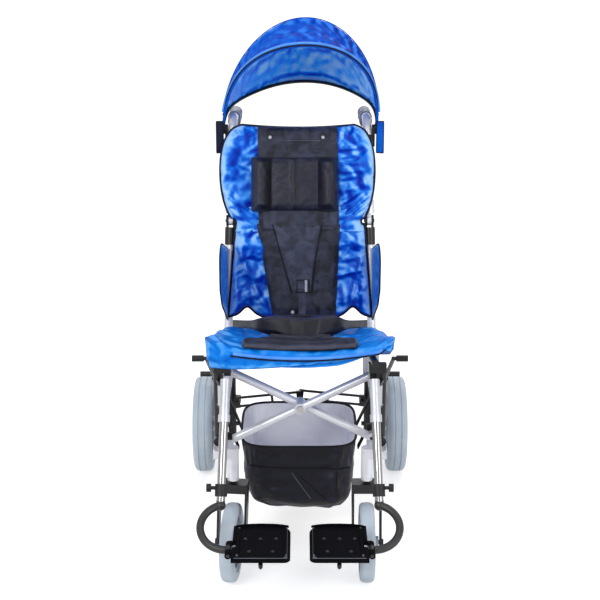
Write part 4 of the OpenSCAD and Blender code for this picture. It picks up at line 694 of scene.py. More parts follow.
# %% Wrinkles and the tones of their painted highlights
def crumple(place, scale, height, seed=0.0):
    """Small wrinkles of nylon: sharp crests less sharp furrows, each from ridged noise."""
    spot = place * scale + Vector((seed, 0.37 * seed, 0.71 * seed))
    crest = noise.ridged_multi_fractal(spot, 1.0, 2.1, 3, 1.0, 1.6)
    furrow = noise.ridged_multi_fractal(spot * 1.13 + Vector((7.3, 2.9, 5.1)), 1.0, 2.1, 3, 1.0, 1.6)
    return height * (crest - furrow)


CALM_STEPS = 30


def tone(piece, toward, spread=0.5, mirrored=False, broad=1.0, middle=0.45):
    """Notes on every point how far its surface turns towards a light, as the tone from which painted highlights and
    painted shade are coloured on crinkles.

    The turns are smoothed along the cloth to tell the panel's own turn from that of its crinkles. The
    panel's counts by the share broad, and the crinkles' fully."""
    mesh = piece.data
    mesh.update()
    turned = []
    for vert, normal in zip(mesh.vertices, mesh.vertex_normals):
        x = math.copysign(toward[0], vert.co.x) if mirrored else toward[0]
        turned.append(normal.vector.dot(Vector((x, toward[1], toward[2])).normalized()))
    turned = np.array(turned)
    ends = np.array([e.vertices[:] for e in mesh.edges])
    links = np.maximum(np.bincount(ends.ravel(), minlength=len(turned)), 1)
    slow = turned.copy()
    for _ in range(CALM_STEPS):
        near = np.bincount(ends[:, 0], slow[ends[:, 1]], len(turned))
        near = near + np.bincount(ends[:, 1], slow[ends[:, 0]], len(turned))
        slow = (slow + near / links) / 2
    facing = np.array([n.vector.y < 0 for n in mesh.vertex_normals])
    value = middle + (turned - slow + broad * (slow - slow[facing].mean())) / spread
    level = mesh.attributes.new("tone", "FLOAT", "POINT")
    level.data.foreach_set("value", np.clip(value, 0, 1).astype(np.float32))


print("wrinkles ready")

# %% [markdown]
# When the cross brace closes, the side frames come together, and the cloth between them has to fit a
# narrower width. Real cloth hangs in loose folds then. Here each piece only gets a mesh of its own.


def crush(*pieces, part="back"):
    """Gives each soft piece between the two side frames its own copy of its mesh."""
    for piece in pieces:
        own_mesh(piece)


# %% [markdown]
# ## Canopy
# One cloth is stretched over three bows that share a hub on each side. The front half is seen from
# above, and its hem throws a shadow on the inside of the rear half. The sheet is laid on the form that
# the bows span, then cloth is let go a little between the bows, because nylon there is never tight.

# %% Form of the canopy
PIVOT_Y, PIVOT_Z = 550.77, 935
COVER_HALF, COVER_R, COVER_T, COVER_LEAN = 194.5, 268.75, 1.5, 14
COVER_TURN = math.acos(46 / COVER_R)
BOW_TURN = math.acos(9 / COVER_R)
FRONT, RIDGE, REAR, REAR_SIDE = (math.radians(d) for d in (35, 4, 72, 40))
COVER_SAG, FRONT_SIDE = 7, 0.5
BOW_R = 3.5
RUMPLE_REAR, RUMPLE_FRONT = 9 * MM, 5 * MM
RUMPLE_IN, RUMPLE_OUT = 8 * MM, 6 * MM


def dome(a, b, drop=0.0):
    """Point of the cover: a turns from the middle to a side, b forward of upright, drop lies inside it."""
    half, r = COVER_HALF - drop, COVER_R - drop
    return at(half * math.sin(a) + COVER_LEAN * math.cos(a), PIVOT_Y - r * math.cos(a) * math.sin(b),
        PIVOT_Z + r * math.cos(a) * math.cos(b))


def row_angle(a, v):
    """Angle of row v: front hem at 0, ridge bow at the middle, rear hem at 1."""
    if v < 0.5:
        front = FRONT * (FRONT_SIDE + (1 - FRONT_SIDE) * math.cos(a))
        return front + (RIDGE - front) * 2 * v
    reach = REAR_SIDE + (REAR - REAR_SIDE) * (1 - (1 - math.cos(a)) ** 3)
    return RIDGE - (RIDGE + reach) * (2 * v - 1)


def cover_point(u, v):
    a = COVER_TURN * (2 * u - 1)
    sag = COVER_SAG * math.sin(math.pi * ((2 * v) % 1.0)) ** 2
    place = dome(a, row_angle(a, v), sag * (0.3 + 0.7 * math.cos(a)))
    free = math.sin(math.pi * ((2 * v) % 1.0)) ** 2 * math.sin(math.pi * u)
    rumple = crumple(place, 17, RUMPLE_REAR if v > 0.5 else RUMPLE_FRONT, 3.0) * free
    b = row_angle(a, v)
    out = Vector((math.sin(a), -math.cos(a) * math.sin(b), math.cos(a) * math.cos(b)))
    return place + out * max(-RUMPLE_IN, min(rumple, RUMPLE_OUT))


print("canopy hubs at", tuple(round(c, 3) for c in at(0, PIVOT_Y, PIVOT_Z)))

# %% Canopy cover
COVER_U, COVER_V = 104, 72
cover = lay_sheet("canopy_cover", COVER_U, COVER_V, (0.72, 0.46), cover_point, [canopy_nylon, painted_light_lining],
    "canopy")
SEAM = 1e-4
sewn = [k for k, (u, v) in enumerate(params(cover))
    if min(abs(v), abs(v - 0.5), abs(v - 1)) < SEAM or min(u, 1 - u) < SEAM]
settle(cover, sewn, frames=18, slack=0.04, weight=0.2, cap=7 * MM, smooth=0)
# painted highlights and painted shade on the cover's crinkles, by how each faces a light
tone(cover, (0.5, 0.6, -0.5), 0.42, broad=0.1)
thicken(cover, COVER_T * MM, 1)
refine(cover)
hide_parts("canopy_skin")
crush(cover, part="canopy")

# %% Canopy hems and bows
def bow_path(v, turn, drop, tip=0.0, steps=64):
    """Points along one row of the form, from the left hub to the right one."""
    return [dome(a, row_angle(a, v) + tip, drop)
        for a in (turn * (2 * k / steps - 1) for k in range(steps + 1))]


# the cover's rolled front hem, pale blue as a painted highlight along its top
front_roll = tube("canopy_front_roll", bow_path(0, COVER_TURN, 0.5, -0.012), 3.4 * MM, painted_highlight_piping,
    "canopy")
# a thin navy cord just under the roll: painted shadow beneath it
front_painted_shadow = tube("canopy_front_painted_shadow", bow_path(0, COVER_TURN, 1.5, 0.010), 2.0 * MM, navy_binding,
    "canopy")
# the rear binding is gathered thicker towards its left end, and a little at its right one
REAR_STEPS = 64
gathers = [1 + clip(0.55 - k / REAR_STEPS) + 0.4 * clip(k / REAR_STEPS - 0.75) for k in range(REAR_STEPS + 1)]
rear_binding = tube("canopy_rear_binding", bow_path(1, COVER_TURN, 0.5, 0.0, REAR_STEPS), 3.2 * MM, navy_binding,
    "canopy", radii=gathers)
ridge_seam = tube("canopy_ridge_seam", bow_path(0.5, COVER_TURN, -0.6), 1.1 * MM, tab_nylon, "canopy")
# the front bow runs in a sleeve of the cover's cloth
bows = [tube("canopy_bow_%d" % (k + 1), bow_path(v, BOW_TURN, COVER_T + 0.3 + BOW_R), BOW_R * MM, finish,
    "canopy") for k, (v, finish) in enumerate(((0, tab_nylon), (0.5, black_metal), (1, black_metal)))]
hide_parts("canopy_frame")
print("canopy:", len(bows), "bows")

# %% Canopy hubs
DISC_R, DISC_X0, DISC_T = 15, 185.2, 5
discs = []
for side, s in SIDES:
    bm = bmesh.new()
    bmesh.ops.create_cone(bm, cap_ends=True, segments=40, radius1=DISC_R * MM, radius2=DISC_R * MM,
        depth=DISC_T * MM)
    rims = [e for e in bm.edges if abs(e.verts[0].co.z - e.verts[1].co.z) < 1e-6]
    bmesh.ops.bevel(bm, geom=rims, offset=1.2 * MM, segments=3, profile=0.5, affect="EDGES", material=-1)
    bmesh.ops.rotate(bm, verts=bm.verts[:], cent=(0, 0, 0), matrix=Matrix.Rotation(math.pi / 2, 3, "Y"))
    bmesh.ops.translate(bm, verts=bm.verts[:], vec=at(s * (DISC_X0 + DISC_T / 2), PIVOT_Y, PIVOT_Z))
    disc = keep(bm, side + "_canopy_hub", [black_plastic], "canopy")
    disc.data.set_sharp_from_angle(angle=math.radians(35))
    discs.append(disc)
crush(front_roll, front_painted_shadow, rear_binding, ridge_seam, *bows, *discs, part="canopy")
print("canopy hubs:", len(discs))

# %% [markdown]
# A small padded tab with a bound edge hangs at each hub, in front of the clamp. It is dark on the left
# and blue on the right, and it tilts with the canopy. A flat sheet would do from the front, but it would
# look like paper from the side, so the tab is a thin pad.

# %% Canopy tabs
TAB_X0, TAB_X1, TAB_Z0, TAB_Z1, TAB_Y, TAB_T = 188.5, 205, -57, 20, 24, 2.4
for side, s, finish in (("left", -1, navy_binding), ("right", 1, tab_nylon)):
    def tab_skin(way, s=s):
        def place(u, v):
            rim = math.sqrt(math.sin(math.pi * u) * math.sin(math.pi * v))
            x = TAB_X0 + u * (TAB_X1 - TAB_X0)
            z = TAB_Z0 + v * (TAB_Z1 - TAB_Z0)
            return at(s * x, PIVOT_Y - TAB_Y - way * TAB_T * rim - 5 * (1 - v) * u, PIVOT_Z + z)
        return place

    tab = lay_pad(side + "_canopy_tab", 14, 30, (0.018, 0.077), tab_skin(1), tab_skin(0), [finish], "canopy")
    refine(tab)
    edge = round_edge(tab_skin(0), 10, 20, 10)
    crush(tab, tube(side + "_canopy_tab_binding", edge, 1.5 * MM, navy_binding, "canopy", ring=True),
        part="canopy")
print("canopy tabs done")

# %% [markdown]
# ## Back cover
# The back is in two padded parts that meet at the half-fold hinges. Each has blue nylon wings, a black
# mesh strip down the middle and a dark piping round its edge. The strip is a pad of its own that lies
# on the blue one. The wrinkles that the photograph shows are laid as listed folds, and cloth does the rest.

# %% Frame of the back
HINGE_Y, HINGE_Z, LEAN = 489.76, 715, 15.5
back_turn = Matrix.Translation(at(0, HINGE_Y, HINGE_Z)) @ Matrix.Rotation(math.radians(-LEAN), 4, "X")
TUBE_R, HINGE_R, REST = 11, 14, 0.3
BACK_Y = HINGE_R + REST
BACK_T, BACK_EDGE, STRIP_T = 20, 5, 5


def on_back(x, y, z):
    """A place in the leaning frame of the back, in millimetres from the hinge axis."""
    return back_turn @ Vector((x * MM, y * MM, z * MM))


def crown(u, v, edge_u=0.16, edge_v=0.12):
    """Padding of a back panel: thin at its edge, full inside."""
    eu, ev = clip((1 - abs(u)) / edge_u), clip(min(v, 1 - v) / edge_v)
    return BACK_EDGE + (BACK_T - BACK_EDGE) * math.sqrt(eu * (2 - eu) * ev * (2 - ev))


def folds_at(x, z, folds):
    """Height of the listed folds at a place on a panel; a fold is a soft ridge or furrow on a line."""
    total = 0.0
    for x0, z0, x1, z1, width, height in folds:
        dx, dz = x1 - x0, z1 - z0
        s = ((x - x0) * dx + (z - z0) * dz) / (dx * dx + dz * dz)
        t = clip(s)
        gap = math.hypot(x - x0 - t * dx, z - z0 - t * dz)
        total += height * math.exp(-((gap / width) ** 2)) * (1 - 0.6 * abs(2 * t - 1) ** 3)
    return total


print("the back leans", LEAN, "degrees")

# %% Form of the upper back
HIGH_HALF, HIGH_LOW, HIGH_TOP, HIGH_DIP, HIGH_RIGHT = 195, 2, 233, 7, 0.935
# the wings are plain under the strip's edge and wrinkle from there outwards
HIGH_PLAIN, HIGH_ONSET, HIGH_SEAM = 84, 14, 92
HIGH_SHARES = [(0, 0.86), (0.12, 0.925), (0.25, 0.97), (0.4, 0.995), (0.55, 1), (0.7, 0.985), (0.82, 0.95),
    (0.92, 0.885), (0.97, 0.82), (1, 0.73)]
# a fold: its two ends across and up, its width and its height
HIGH_FOLDS = [
    (-172, 58, -100, 4, 6, 6), (-180, 76, -128, 20, 7, -4), (-176, 40, -118, 2, 5, 4),
    (172, 66, 102, 6, 5, 6), (176, 50, 118, 3, 4, 5), (150, 62, 101, 24, 5, 4.5), (166, 84, 100, 40, 6, -3),
    (-160, 150, -116, 122, 14, -6), (-186, 120, -140, 96, 9, 4), (-176, 190, -112, 150, 10, 4),
    (98, 172, 142, 178, 4.5, 3.5), (98, 146, 138, 150, 4.5, -3.5), (98, 118, 150, 122, 5, 4),
    (98, 92, 144, 100, 5, -4), (98, 70, 136, 80, 4.5, 3.5), (150, 190, 182, 120, 11, 4), (110, 200, 160, 160, 9, -3),
]
FOLD_GAIN = 1.3


def high_row(v):
    return 1 - (1 - v) ** 1.35


def high_outline(u, v):
    """Place across and up of a point of the upper back."""
    w = high_row(v)
    half = HIGH_HALF * lookup(w, HIGH_SHARES) * (HIGH_RIGHT if u > 0.5 else 1)
    return (2 * u - 1) * half, HIGH_LOW + w * (HIGH_TOP - HIGH_DIP * (1 - (2 * u - 1) ** 2) - HIGH_LOW)


def high_front(u, v):
    x, z = high_outline(u, v)
    puff = crown(2 * u - 1, high_row(v))
    soft = ease((puff - BACK_EDGE) / (BACK_T - BACK_EDGE))
    soft *= ease((abs(x) - HIGH_PLAIN) / HIGH_ONSET)
    puff += soft * (FOLD_GAIN * folds_at(x, z, HIGH_FOLDS) + crumple(Vector((x, z, 0)) * MM, 16, 4.5, 9.0))
    return on_back(x, -BACK_Y - puff, z)


def high_back(u, v):
    x, z = high_outline(u, v)
    return on_back(x, -BACK_Y, z)


print("upper back:", len(HIGH_FOLDS), "folds")

# %% Upper back panel
upper_back = lay_pad("upper_back_cover", 88, 60, (0.39, 0.235), high_front, high_back, [wing_nylon],
    "left_upper_back")


def sewn_edges(piece, front_only=True, lines=()):
    """Points that stay put: the rim, the lines that are named and, on a pad, the whole back skin."""
    half = len(piece.data.vertices) // 2
    held = []
    for k, (u, v) in enumerate(params(piece)):
        rim = min(u, 1 - u, v, 1 - v) < SEAM
        if rim or (front_only and k >= half) or any(test(u, v) for test in lines):
            held.append(k)
    return held


def high_strip_line(u, v):
    return abs(abs(high_outline(u, v)[0]) - HIGH_SEAM) < 3


settle(upper_back, sewn_edges(upper_back, lines=[high_strip_line]), slack=0.025, pressure=0.6, cap=5 * MM,
    smooth=0)
# painted highlights on the wings' folds that turn outwards towards the side lights, painted shade in the furrows
tone(upper_back, (0.62, -0.6, 0.5), 0.45, True, 0.6, 0.43)
refine(upper_back)
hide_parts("upper_back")
print("upper back", 2 * HIGH_HALF, "mm wide at most")

# %% Piping of the upper back
high_path = [on_back(x, -BACK_Y - 4, z) for x, z in round_edge(high_outline, 50, 50, 50, "rtl")]
high_piping = tube("upper_back_piping", high_path, 4.2 * MM, navy_binding, "left_upper_back")
crush(upper_back, high_piping)
print("upper back with piping")

# %% Form of the lower back
LOW_HALF0, LOW_HALF1, LOW_LEN, LOW_TOP, ARCH = 158, 176, 240, 9, 28
SLEEVE_LEN, SLEEVE_STEP = 60, 18
LOW_PLAIN, LOW_ONSET, LOW_SEAM = 66, 16, 84
HEM_SHARES = [(0, 0), (0.45, 0), (0.6, 0.35), (0.74, 1), (0.88, 0.35), (1, 0.1)]
LOW_FOLDS = [
    (-153, -60, -118, -150, 7, 4.5), (-118, -150, -72, -232, 7, 5), (-163, -96, -153, -206, 6, 3.5),
    (-128, -120, -112, -216, 6, -3), (-140, -40, -112, -96, 9, 3), (-150, -196, -120, -232, 6, 3),
    (149, -96, 129, -176, 6, 4.5), (129, -176, 118, -222, 6, 4.5), (89, -138, 149, -122, 5, 4),
    (162, -158, 129, -204, 5, 4), (104, -160, 112, -226, 6, 3.5), (100, -100, 150, -86, 7, 3),
    (140, -120, 146, -220, 6, -3),
]


def low_seat(z):
    """The lower back lies on the canes and steps over the hinge sleeves."""
    return TUBE_R + REST + (HINGE_R - TUBE_R) * ease((z + SLEEVE_LEN + SLEEVE_STEP) / SLEEVE_STEP)


def low_outline(u, v):
    w = 2 * u - 1
    x = w * (LOW_HALF1 + (LOW_HALF0 - LOW_HALF1) * v)
    arch = lookup(abs(w), HEM_SHARES) * (1 - v)
    return x, -LOW_LEN + ARCH * arch + v * (LOW_LEN - LOW_TOP)


def low_front(u, v):
    x, z = low_outline(u, v)
    puff = crown(2 * u - 1, v)
    soft = ease((puff - BACK_EDGE) / (BACK_T - BACK_EDGE))
    soft *= ease((abs(x) - LOW_PLAIN) / LOW_ONSET)
    puff += soft * (FOLD_GAIN * folds_at(x, z, LOW_FOLDS) + crumple(Vector((x, z, 0)) * MM, 15, 4.5, 21.0))
    return on_back(x, -low_seat(z) - puff, z)


def low_back_skin(u, v):
    x, z = low_outline(u, v)
    return on_back(x, -low_seat(z), z)


print("lower back:", len(LOW_FOLDS), "folds")

# %% Lower back panel
lower_back = lay_pad("lower_back_cover", 80, 60, (0.34, 0.235), low_front, low_back_skin, [wing_nylon],
    "left_frame")
settle(lower_back, sewn_edges(lower_back, lines=[lambda u, v: abs(abs(low_outline(u, v)[0]) - LOW_SEAM) < 3]),
    slack=0.025, pressure=0.6, cap=5 * MM, smooth=0)
# painted highlights on the wings' folds that turn outwards towards the side lights, painted shade in the furrows
tone(lower_back, (0.5, -0.6, 0.6), 0.5, True, 0.65, 0.48)
refine(lower_back)
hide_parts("lower_back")
low_path = [on_back(x, -low_seat(z) - 4, z) for x, z in round_edge(low_outline, 90, 40, 40)]
low_piping = tube("lower_back_piping", low_path, 3.8 * MM, navy_binding, "left_frame", ring=True)
crush(lower_back, low_piping)
print("back cover: two padded panels with piping")

# %% [markdown]
# A cloth flap on the upper panel hangs over the joint of the two backs, so that no daylight shows there.
# It belongs to the upper part and lifts away with it when the back folds down.

# %% Flap over the joint
FLAP_LOW, FLAP_TOP, FLAP_T = -30, 32, 2.5
FLAP_HALVES = [(-30, 160), (-16, 157), (-2, 157), (12, 169), (32, 181)]
FLAP_FOLDS = [(-165, 20, -110, -18, 5, 4), (-150, 30, -96, -6, 5, -3), (160, 22, 104, -16, 5, 4),
    (150, 8, 110, -24, 4, 3.5)]


def flap_half(z, right):
    """Half width of the flap, which follows the narrower right side of the upper back."""
    return lookup(z, FLAP_HALVES) * (1 - (1 - HIGH_RIGHT) * right * ease((z + 26) / 34))


def flap_skin(way):
    def place(u, v):
        z = FLAP_LOW + v * (FLAP_TOP - FLAP_LOW)
        x = (2 * u - 1) * flap_half(z, u > 0.5)
        eu = clip((1 - abs(2 * u - 1)) / 0.16)
        full = math.sqrt(eu * (2 - eu))
        out = BACK_EDGE + (BACK_T - BACK_EDGE) * full + 2 - 4 * math.exp(-(((z + 2) / 7) ** 2)) * full
        wrinkle = folds_at(x, z, FLAP_FOLDS) + crumple(Vector((x, z, 0)) * MM, 16, 2.5, 9.0)
        out += full * wrinkle * ease((abs(x) - HIGH_PLAIN) / HIGH_ONSET)
        return on_back(x, -BACK_Y - out + (0 if way else FLAP_T), z)
    return place


flap = lay_pad("back_joint_flap", 80, 20, (0.33, 0.062), flap_skin(True), flap_skin(False), [wing_nylon],
    "left_upper_back")
# painted highlights and painted shade on the flap's wrinkles
tone(flap, (0.5, -0.6, 0.6), 0.6, True, 0.5)
refine(flap)
for side, s in SIDES:
    edge = [(s * flap_half(z, s > 0), z) for z in range(FLAP_LOW, FLAP_TOP + 1, 4)]
    crush(tube(side + "_flap_piping", [on_back(x, -BACK_Y - 5, z) for x, z in edge], 4.0 * MM, navy_binding,
        "left_upper_back"))
crush(flap)
print("flap", FLAP_TOP - FLAP_LOW, "mm tall")

# %% [markdown]
# ## Centre strip and headrest
# The black strip is a thin quilted pad. On the upper part it is sewn across below the snaps, and the
# headrest hangs on it: a flat pad with a roll at each side and a seam down the middle. On the lower part
# two harness straps run down to a buckle.

# %% Centre strip
HIGH_STRIP = ((-104, 91), (-101, 96))
LOW_STRIP = ((-106, 98), (-67, 88))
STRIP_LIFT = 3.0


def strip_edge(pair, t):
    """Left and right edge of the strip, t from its top to its bottom."""
    (l0, r0), (l1, r1) = pair
    return l0 + (l1 - l0) * t, r0 + (r1 - r0) * t


def quilt(z, seams, width=5, deep=3):
    """A sewn line across the strip draws it in."""
    return -sum(deep * math.exp(-(((z - s) / width) ** 2)) for s in seams)


def strip_skin(pair, z0, z1, seat, outline_top, seams, lift):
    """The rule that lays a strip's skin between the heights z0 and z1."""
    def place(u, v):
        left, right = strip_edge(pair, 1 - v)
        x = left + u * (right - left)
        z = z0 + v * (z1 - HIGH_DIP * outline_top * (1 - (x / 150) ** 2) - z0)
        rim = ease(min(u, 1 - u) / 0.05) * ease(min(v, 1 - v) / 0.03)
        up = lift * rim + (quilt(z, seams) + crumple(Vector((x, z, 5)) * MM, 12, 1.2)) * rim * (lift > 2)
        base = BACK_EDGE + (BACK_T - BACK_EDGE) * (1 - (1 - min(1, (1 - v if outline_top else v) / 0.12)) ** 2) ** 0.5
        return on_back(x, -seat(z) - base - STRIP_LIFT - up, z)
    return place


def strip_pad(name, pair, z0, z1, seat, at_top, seams, body):
    size = (0.19, abs(z1 - z0) * MM)
    pad = lay_pad(name, 44, 56, size, strip_skin(pair, z0, z1, seat, at_top, seams, STRIP_T + 1.5),
        strip_skin(pair, z0, z1, seat, at_top, seams, 0.0), [black_mesh], body)
    settle(pad, sewn_edges(pad, lines=[lambda u, v: any(abs(z0 + v * (z1 - z0) - s) < 2.5 for s in seams)]),
        frames=12, slack=0.012, pressure=0.5, cap=3 * MM)
    refine(pad)
    return pad


high_strip = strip_pad("upper_back_strip", HIGH_STRIP, FLAP_LOW - 3, HIGH_TOP + 3, lambda z: BACK_Y, 1,
    (186, 168), "left_upper_back")
low_strip = strip_pad("lower_back_strip", LOW_STRIP, -LOW_LEN + 2, -LOW_TOP - 1, low_seat, 0,
    (-24, -226), "left_frame")
crush(high_strip, low_strip)
print("centre strip in two parts")

# %% Headrest
HEAD_X0, HEAD_X1, HEAD_Z0, HEAD_Z1, HEAD_T, HEAD_ROLL = -119, 93, 22, 152, 16, 26
HEAD_BASE = BACK_Y + BACK_T + STRIP_T + 2.5


def head_skin(front):
    def place(u, v):
        w = 2 * u - 1
        roll = math.sin(math.pi * clip((abs(w) - 0.54) / 0.46)) ** 0.7
        ridge = 0.3 * max(0.0, 1 - abs(w + 0.02) / 0.12) ** 2
        edge = math.sqrt(clip(min(v, 1 - v) / 0.12)) * (0.25 + 0.75 * math.sqrt(clip((1 - abs(w)) / 0.1)))
        thick = BACK_EDGE + (HEAD_T - BACK_EDGE + HEAD_ROLL * roll + HEAD_T * ridge) * edge
        x = (HEAD_X0 + HEAD_X1) / 2 + w * (HEAD_X1 - HEAD_X0) / 2
        z = HEAD_Z0 + v * (HEAD_Z1 - HEAD_Z0) + 2.5 * roll * (2 * v - 1)
        if front:
            thick += crumple(Vector((x, z, 11)) * MM, 11, 1.4) * edge
        return on_back(x, -HEAD_BASE - (thick if front else 0), z)
    return place


headrest = lay_pad("headrest_pad", 72, 40, (0.25, 0.13), head_skin(True), head_skin(False), [black_pad],
    "left_upper_back")
settle(headrest, sewn_edges(headrest, lines=[lambda u, v: abs(abs(2 * u - 1) - 0.54) < 0.02]),
    frames=12, slack=0.01, pressure=0.8, cap=3 * MM)
# painted highlights on the headrest's rolls and painted shade between them
tone(headrest, (-0.3, -0.9, 0.3), 0.9, broad=0.5)
refine(headrest)
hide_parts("headrest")
crush(headrest)
print("headrest", HEAD_X1 - HEAD_X0, "mm wide")

# %% [markdown]
# Small sewn things finish the back: two snaps with a row of stitches, the ends of the headrest's straps,
# and the harness panel that narrows towards its buckle.

# %% Straps and harness panel
OUTWARD = back_turn.to_3x3() @ Vector((0, -1, 0))
STRIP_FRONT = BACK_T + STRIP_LIFT + STRIP_T + 1.5


def sewn_patch(name, corners, seat, thick, finish, body, nu=14, nv=30):
    """A flat piece of cloth sewn on the strip: corners give left and right x at the bottom and at the top."""
    (l0, r0, z0), (l1, r1, z1) = corners

    def skin(way):
        def place(u, v):
            x = l0 + (l1 - l0) * v + u * (r0 - l0 + (r1 - l1 - r0 + l0) * v)
            z = z0 + v * (z1 - z0)
            rim = ease(min(u, 1 - u) / 0.1) * ease(min(v, 1 - v) / 0.06)
            stitch = 0.8 * math.exp(-((min(u, 1 - u) - 0.16) / 0.03) ** 2) * way
            return on_back(x, -seat(z) - way * (thick * (0.35 + 0.65 * rim) - stitch), z)
        return place

    patch = lay_pad(name, nu, nv, (abs(r0 - l0) * MM, abs(z1 - z0) * MM), skin(1), skin(0), [finish], body)
    refine(patch)
    crush(patch)
    return patch


def high_face(z):
    return BACK_Y + STRIP_FRONT - 2


def low_face(z):
    return low_seat(z) + STRIP_FRONT - 2


sewn_patch("left_headrest_strap", ((-90, -57, -24), (-90, -57, 27)), high_face, 3.6, painted_sheen_mesh, "left_upper_back")
sewn_patch("right_headrest_strap", ((56, 91, -16), (56, 91, 29)), high_face, 3.6, painted_sheen_mesh, "left_upper_back")
sewn_patch("harness_panel", ((-19, 27, -182), (-66, 52, -14)), low_face, 4.2, painted_sheen_mesh, "left_frame", 30, 50)
sewn_patch("harness_tail", ((-4, 15, -234), (-5, 16, -172)), low_face, 3.4, painted_sheen_mesh, "left_frame")
print("back: straps and harness panel")


# %% Snaps, stitches and buckle
def button(name, place, out, radius, height, finish, body):
    """A low round head, such as a snap or a bolt, that stands out of a surface."""
    bm = bmesh.new()
    bmesh.ops.create_cone(bm, cap_ends=True, segments=28, radius1=radius, radius2=0.86 * radius, depth=height)
    crest = [e for e in bm.edges if all(v.co.z > 0 for v in e.verts)]
    bmesh.ops.bevel(bm, geom=crest, offset=0.4 * height, segments=3, profile=0.5, affect="EDGES", material=-1)
    turn = Vector((0, 0, 1)).rotation_difference(out).to_matrix()
    bmesh.ops.rotate(bm, verts=bm.verts[:], cent=(0, 0, 0), matrix=turn)
    bmesh.ops.translate(bm, verts=bm.verts[:], vec=place)
    piece = keep(bm, name, [finish], body)
    piece.data.set_sharp_from_angle(angle=math.radians(40))
    return piece


SNAP_R, SNAP_H = 4.6 * MM, 4 * MM
# place across and up, the face that it sits on, how far it stands out and the body that it rides
SNAPS = [
    ("left_snap", -73, 201, high_face, 1.5, "left_upper_back"),
    ("right_snap", 56, 201, high_face, 1.5, "left_upper_back"),
    ("harness_snap", -18, -226, low_face, 1, "left_frame"),
]
for name, x, z, face, proud, body in SNAPS:
    crush(button(name, on_back(x, -face(z) - proud, z), OUTWARD, SNAP_R, SNAP_H, buckle_grey, body))
row = [on_back(-68 + 3 * k, -high_face(0) - 1.6, 193) for k in range(40)]
stitches = tube("snap_stitches", row, 0.9 * MM, thread_grey, "left_upper_back")
x0, x1, z0, z1 = -8, 22, -176, -147
ring = [on_back(x, -low_face(z) - 5, z) for x, z in ((x0, z0), (x1, z0), (x1, z1), (x0, z1))]
buckle = tube("harness_buckle", ring, 2.4 * MM, black_plastic, "left_frame", ring=True)
bar = tube("harness_buckle_bar", [on_back(x1 - 7, -low_face(z1) - 5.5, z) for z in (z0, z1)], 3.6 * MM, buckle_grey,
    "left_frame")
seams = []
HARNESS_EDGES = (("left", ((-67, -12), (-45, -92), (-20, -180))), ("right", ((53, -14), (37, -98), (28, -180))))
for side, path in HARNESS_EDGES:
    seams.append(tube(side + "_harness_seam", [on_back(x, -low_face(z) - 3, z) for x, z in path], 1.6 * MM, webbing,
        "left_frame"))
crush(stitches, buckle, bar, *seams)
print("back: snaps, stitches and buckle")

# %% [markdown]
# ## Seat
# The seat is a sling: a padded blue top that sags between its rails, rolls over the front edge and ends
# in a fascia that hangs lower on the left. The black insert lies on it, and the lap belt on the insert.
# The sling's top and underside are laid by rules of their own, so that it sits on the rails exactly, and
# cloth only adds the small swelling between the seams.

# %% Measures of the seat
CUSH_Y0, CUSH_Y1, CUSH_HALF, CUSH_Z, CUSH_SAG, CUSH_ROLL = 12, 385, 207, 566, 24, 16
SEAT_LEAN, SEAT_REF = math.radians(14), 30
SEAT_TILT = math.tan(SEAT_LEAN)
FASCIA_T, FASCIA_Z, FASCIA_RISE, UNDER_SAG, CORNER_LEN = 7, 498, 43, 18, 130
CUSH_SHARES = [(0, 0.94), (0.02, 0.98), (0.06, 1), (0.5, 0.985), (0.8, 0.93), (0.92, 0.86), (1, 0.76)]
DROP_SHARES = [(0, 1.55), (0.008, 1.05), (0.025, 0.75), (0.07, 0.48), (0.14, 0.2), (0.24, 0), (0.92, 0),
    (0.97, 0.25), (1, 1)]
FASCIA_SHARES = [(-1, 0.1), (-0.6, 0), (0, 0.21), (0.52, 0.53), (0.88, 0.95), (1, 1)]
SEAT_Z0, SEAT_R, SEAT_X = 505, 9, 165


def straight(t, table):
    """Straight lines through the table's points, where the CAD form has them too."""
    for (t0, a), (t1, b) in zip(table, table[1:]):
        if t <= t1:
            return a + (b - a) * clip((t - t0) / (t1 - t0))
    return table[-1][1]


def cush_share(y):
    return (y - CUSH_Y0) / (CUSH_Y1 - CUSH_Y0)


def cush_wide(y):
    return CUSH_HALF * straight(cush_share(y), CUSH_SHARES)


def cush_top(x, y):
    u = x / cush_wide(y)
    e = clip((abs(u) - 0.88) / 0.12)
    return (CUSH_Z - SEAT_TILT * (y - SEAT_REF) - CUSH_SAG * (1 - u * u) * (1 - 0.25 * clip(cush_share(y)))
        + 4 * (1 - u * u) * math.exp(-((y / 60) ** 2)) - (CUSH_ROLL - 18 * math.exp(-(((y - 40) / 70) ** 2))) * e * e
        - CUSH_ROLL * straight(cush_share(y), DROP_SHARES) * (1 - 0.6 * e))


def fascia_low(x):
    return FASCIA_Z + FASCIA_RISE * lookup(x / CUSH_HALF, FASCIA_SHARES)


def rail_top(y):
    return SEAT_Z0 - SEAT_TILT * (y - SEAT_REF) + SEAT_R / math.cos(SEAT_LEAN) + REST


def cush_under(x, y):
    u = clip(1 - (x / (SEAT_X - SEAT_R - 2)) ** 2)
    lift = max(0, fascia_low(x) - rail_top(CUSH_Y0 + FASCIA_T))
    return rail_top(y) - UNDER_SAG * u + lift * (1 - ease((y - CUSH_Y0 - FASCIA_T) / CORNER_LEN))


print("seat tilt", round(SEAT_TILT, 3), "in the rise over the run")

